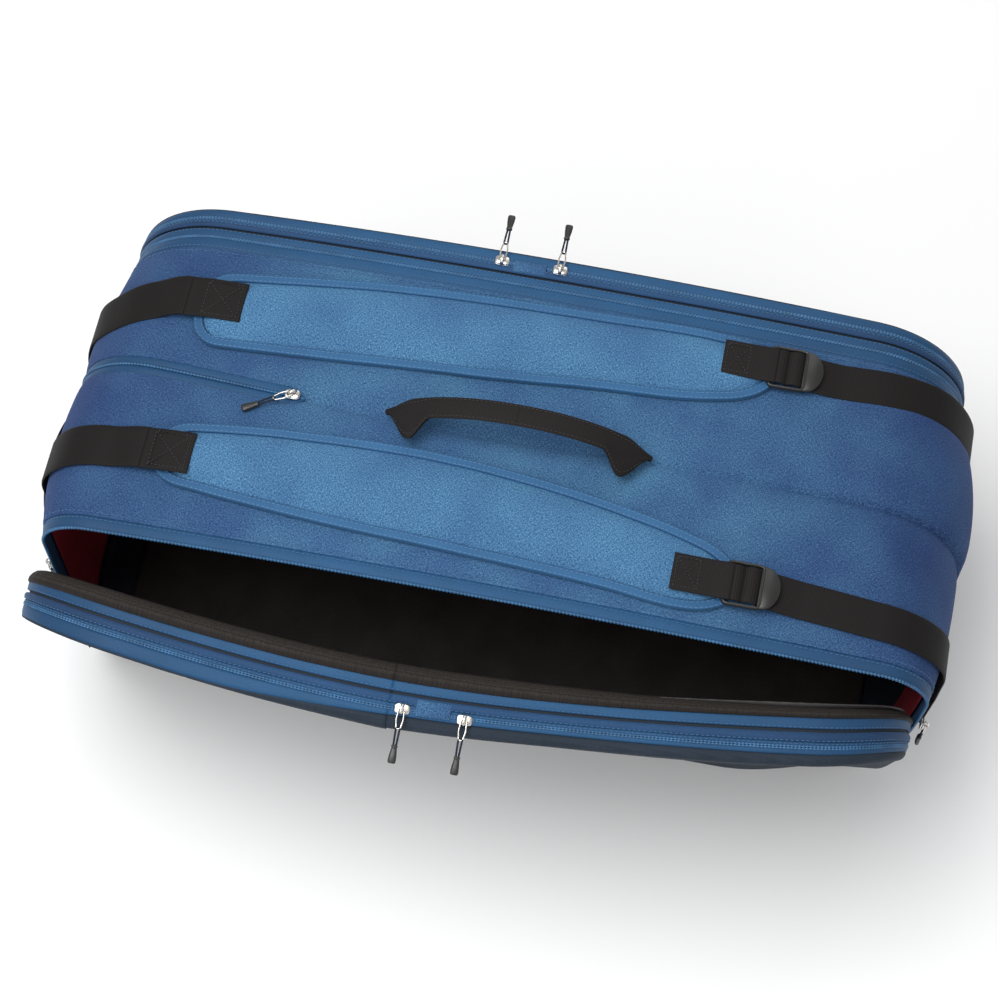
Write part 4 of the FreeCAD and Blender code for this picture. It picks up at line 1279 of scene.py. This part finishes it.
def pocket_face(word, half):
    """The outer pocket's navy front: a shallow tray of cloth, swollen outwards."""
    s = flap_run(half, 380)
    centre = np.array([SPLIT_FOOT if word == "near" else 0.0, 0, FLAP_BOTTOM])
    outline = arch(s, MOUTH, -INSET[word])
    start = pocket_start(word, outline[:, 0], outline[:, 2])
    edge_depth = pocket_depth(word, outline[:, 0], outline[:, 2])
    roll = np.clip(edge_depth - start, 0, POCKET_ROLL)
    rows = []
    hem = start - 2 * MM
    for share in (0.0, 0.5, 1.0):
        point = arch(s, MOUTH, -(0.6 + 1.2 * (1 - share)) * MM - INSET[word])
        rows.append((point[:, 0], hem + share * (edge_depth - roll - hem), point[:, 2]))
    for turn in np.linspace(0.2, math.pi / 2, 6):
        point = arch(s, MOUTH, -roll * (1 - math.cos(turn)) - 0.6 * MM - INSET[word])
        rows.append((point[:, 0], edge_depth - roll + roll * math.sin(turn), point[:, 2]))
    rolled = np.stack([rows[-1][0], 0 * s, rows[-1][2]], -1)
    for share in np.linspace(0.98, FAN_END, 44):
        flat = centre + (rolled - centre) * share
        soft = 1.6 * MM * ripple(flat[:, 0], flat[:, 2], 16.0, 4.0) * smooth((1 - share) / 0.1)
        belly = BELLY * np.exp(-(((flat[:, 0] - 0.17) / 0.14) ** 2)) * (word == "near")
        bulge = (3.0 * MM + belly) * math.sin(math.pi * share) ** 0.7
        rows.append((flat[:, 0], pocket_depth(word, flat[:, 0], flat[:, 2]) + soft + bulge, flat[:, 2]))
    x, out, z = (np.stack(column, 1) for column in zip(*rows))
    grid = flap_place(word, half, x, out, z)
    uv = np.stack([x, z + 0.5 * out], -1)
    face = slab(f"{word}_pocket_face_{half}", grid, 2.4 * MM, NAVY, uv, SIDES[word] < 0, True)
    done(face, flap_body(word, half, "pocket"), "side_fabric", word + "_pocket_panel")


def zip_tab(word):
    """The cloth tab across the pocket zip between its two sliders."""
    low, high = (corner[0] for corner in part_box(word + "_pocket_tab"))
    x = np.linspace(low, high, 24)[:, None]
    v = np.linspace(0, 1, 12)[None, :]
    out = BAND_START + 1 * MM + v * (POCKET_COIL + 3 * MM - BAND_START)
    plump = np.sin(math.pi * v) ** 0.5 * np.sin(math.pi * (x - low) / (high - low)) ** 0.35
    grid = flap_points(word, "head" if word == "near" else "whole", x, out, 0.8 * MM + 2.0 * MM * plump)
    uv = together(x, out)
    tab = slab(word + "_zip_tab", grid, 1.6 * MM, SHELL, uv, SIDES[word] < 0)
    done(tab, word + "_flap", "shell_fabric", word + "_pocket_tab")


# ------------------------------------------------------------ zip sliders and pulls


def turned(angle):
    """A unit vector in the Y-Z plane, from straight up towards -Y."""
    return np.array([0, -math.sin(angle), math.cos(angle)])


# how high a pull lies above its slider's foot, in millimetres
LINK_LEVEL = 4.85


class PullFrame:
    """The local frame of a zip pull: X along the lying pull, Z away from the cloth."""

    def __init__(self, label, outward):
        joint = JOINTS[label + "_pull_swing"]
        self.outward = unit(np.asarray(outward, float))
        self.pull = unit(np.cross(self.outward, joint["axis"]))
        self.side = np.cross(self.outward, self.pull)
        self.origin = np.array(joint["pos_m"]) - LINK_LEVEL * MM * self.outward

    def place(self, points):
        points = np.asarray(points, float) * MM
        return self.origin + points @ np.stack([self.pull, self.side, self.outward])


def slider_parts(zip_turn):
    """A two-plate slider body, waisted, with a domed bridge; in millimetres."""
    turn = np.linspace(0, 2 * math.pi, 40, endpoint=False)
    waist = 1 + 0.10 * np.cos(2 * turn)
    outline = np.stack([6.4 * np.sign(np.cos(turn)) * np.abs(np.cos(turn)) ** 0.7,
                        4.5 * waist * np.sign(np.sin(turn)) * np.abs(np.sin(turn)) ** 0.6], -1)
    angle = math.radians(zip_turn)
    spin = np.array([[math.cos(angle), math.sin(angle)], [-math.sin(angle), math.cos(angle)]])
    outline = outline @ spin
    plates = ((1.0, 0.2, 1.2, 0.4), (0.96, 2.0, 3.3, 0.6), (0.45, 0.8, 2.4, 0.2))
    parts = [ring_stack(bevelled(outline * share, *levels)) for share, *levels in plates]
    arc = np.linspace(0, math.pi, 16)
    spine = np.stack([4.0 * np.cos(arc), 0 * arc, 2.6 + 4.6 * np.sin(arc) ** 0.75], -1)
    _, side, up = frames(spine, (0, 1, 0))
    parts.append(ring_stack([
        [point + a * 0.75 * math.cos(k) + b * 1.5 * math.sin(k) for k in -turn[::4]]
        for point, a, b in zip(spine, side, up)
    ]))
    return joined(parts)


TIP_RINGS = (
    (29.6, 1.9, 1.4), (30, 2.5, 1.9), (31, 2.7, 2.0), (31.6, 2.3, 1.7), (33, 2.4, 1.7),
    (38, 3.1, 1.9), (42.5, 3.4, 1.9), (44, 3.0, 1.6), (44.5, 2.2, 1.1),
)


def finger_tip():
    """A rounded bar, waisted behind its cord end; rings are (distance, half width, half height)."""
    turn = np.linspace(0, 2 * math.pi, 24, endpoint=False)
    side, up = (np.copysign(np.abs(wave) ** 0.7, wave) for wave in (np.cos(turn), np.sin(turn)))
    return ring_stack([
        together(x, wide * side, LINK_LEVEL - 0.55 + high * up) for x, wide, high in TIP_RINGS
    ])


def zip_slider(label, outward, zip_turn, split_pull=True):
    """A nickel slider, its wire link, a doubled cord and a moulded finger tip."""
    local = PullFrame(label, outward)
    place, hint = local.place, local.outward
    points, faces = slider_parts(zip_turn)
    body = piece(label + "_slider_body", place(points), faces, NICKEL)
    done(body, label + "_zip", "slider_metal", label + "_slider")
    plan = ((0, -2.2), (0, 2.2), (9, 2.9), (16.5, 1.6), (16.5, -1.6), (9, -2.9))
    corners = [(x, y, LINK_LEVEL) for x, y in plan]
    wire = rounded(resample(corners, 0.6, closed=True), 3)
    link = sweep(label + "_link", place(wire), round_profile(0.7 * MM, 10), NICKEL, hint, closed=True)
    sag = np.linspace(0, 1, 20)
    drop = LINK_LEVEL - 0.8 * sag + 0.5 * np.sin(math.pi * sag)
    strand = list(zip(16.0 + 15 * sag, 1.6 - 0.5 * sag, drop))
    bight = [(15.2, 0.8, LINK_LEVEL), (15.2, -0.8, LINK_LEVEL)]
    other = [(x, -y, z) for x, y, z in strand]
    path = place(strand[::-1] + bight + other)
    cord = sweep(label + "_cord", path, round_profile(0.85 * MM, 10), CORD, hint)
    points, faces = finger_tip()
    tip = piece(label + "_tip", place(points), faces, BLACK_PLASTIC)
    nodes = (["_pull_link"], ["_pull_tip"]) if split_pull else (["_pull"], [])
    done(link, label + "_pull", "slider_metal", *(label + node for node in nodes[0]))
    done(tip, label + "_pull", "pull_plastic", *(label + node for node in nodes[1]))
    done(cord, label + "_pull", "pull_plastic")


def all_sliders():
    """Two sliders on each outer pocket and each main zip, and one on the spine pocket."""
    for end in ("tail", "head"):
        zip_slider(f"near_pocket_{end}", turned(OPENING), 90)
        zip_slider(f"far_pocket_{end}", turned(0), 90)
        for word in SIDES:
            sign = -1 if end == "tail" else 1
            zip_slider(f"{word}_main_{end}", (sign, 0, 0), 0, split_pull=False)
    zip_slider("spine", (-0.043, 0, 0.999), -210)


# ------------------------------------------------------------ assembly

for word in SIDES:
    shell_half(word)
    ring_tape(word)
    floor_lining(word)
    shoulder_strap(word)
    zip_tab(word)
    for half in ("tail", "head") if word == "near" else ("whole",):
        flap_edge(word, half)
        flap_inside(word, half)
        pocket_face(word, half)
divider()
base_tub()
spine_zip()
carry_handle()
haul_loop()
all_sliders()


# ------------------------------------------------------------ stage, light and camera


def stage():
    """A wide pale floor."""
    bpy.ops.mesh.primitive_plane_add(size=30)
    floor = bpy.context.object
    floor.name = "floor"
    paper = bpy.data.materials.new("pale_floor")
    paper.use_nodes = True
    surface = paper.node_tree.nodes["Principled BSDF"]
    surface.inputs["Base Color"].default_value = (0.93, 0.93, 0.93, 1)
    surface.inputs["Roughness"].default_value = 0.9
    floor.data.materials.append(paper)


def area_light(name, place, target, size, power, color=(1, 1, 1)):
    data = bpy.data.lights.new(name, "AREA")
    data.size = size
    data.energy = power
    data.color = color
    lamp = bpy.data.objects.new(name, data)
    bpy.context.scene.collection.objects.link(lamp)
    lamp.location = place
    lamp.rotation_euler = (Vector(target) - Vector(place)).to_track_quat("-Z", "Y").to_euler()


def camera():
    azimuth, elevation = math.radians(11.3), math.radians(64.9)
    back = Vector((
        math.sin(azimuth) * math.cos(elevation),
        -math.cos(azimuth) * math.cos(elevation),
        math.sin(elevation),
    ))
    target = Vector((-0.0029, -0.0443, 0.3011))
    distance = 2.0
    data = bpy.data.cameras.new("camera")
    data.sensor_width = 36
    data.lens = 86.0
    data.clip_end = 50
    view = bpy.data.objects.new("camera", data)
    view.location = target + distance * back
    view.rotation_euler = back.to_track_quat("Z", "Y").to_euler()
    bpy.context.scene.collection.objects.link(view)
    bpy.context.scene.camera = view


stage()
area_light("key", (-0.7, -0.3, 2.6), (0, 0, 0.25), 1.6, 52)
area_light("fill", (1.8, -1.6, 1.8), (0, 0, 0.2), 2.0, 10)
area_light("front", (-0.9, -1.9, 1.3), (0, 0, 0.2), 1.6, 12)
area_light("back", (0.3, 2.4, 1.9), (0, 0, 0.2), 1.8, 14)
camera()
world = bpy.data.worlds.new("studio")
world.use_nodes = True
world.node_tree.nodes["Background"].inputs["Color"].default_value = (1, 1, 1, 1)
world.node_tree.nodes["Background"].inputs["Strength"].default_value = 0.42
bpy.context.scene.world = world
bpy.context.scene.view_settings.view_transform = "Standard"
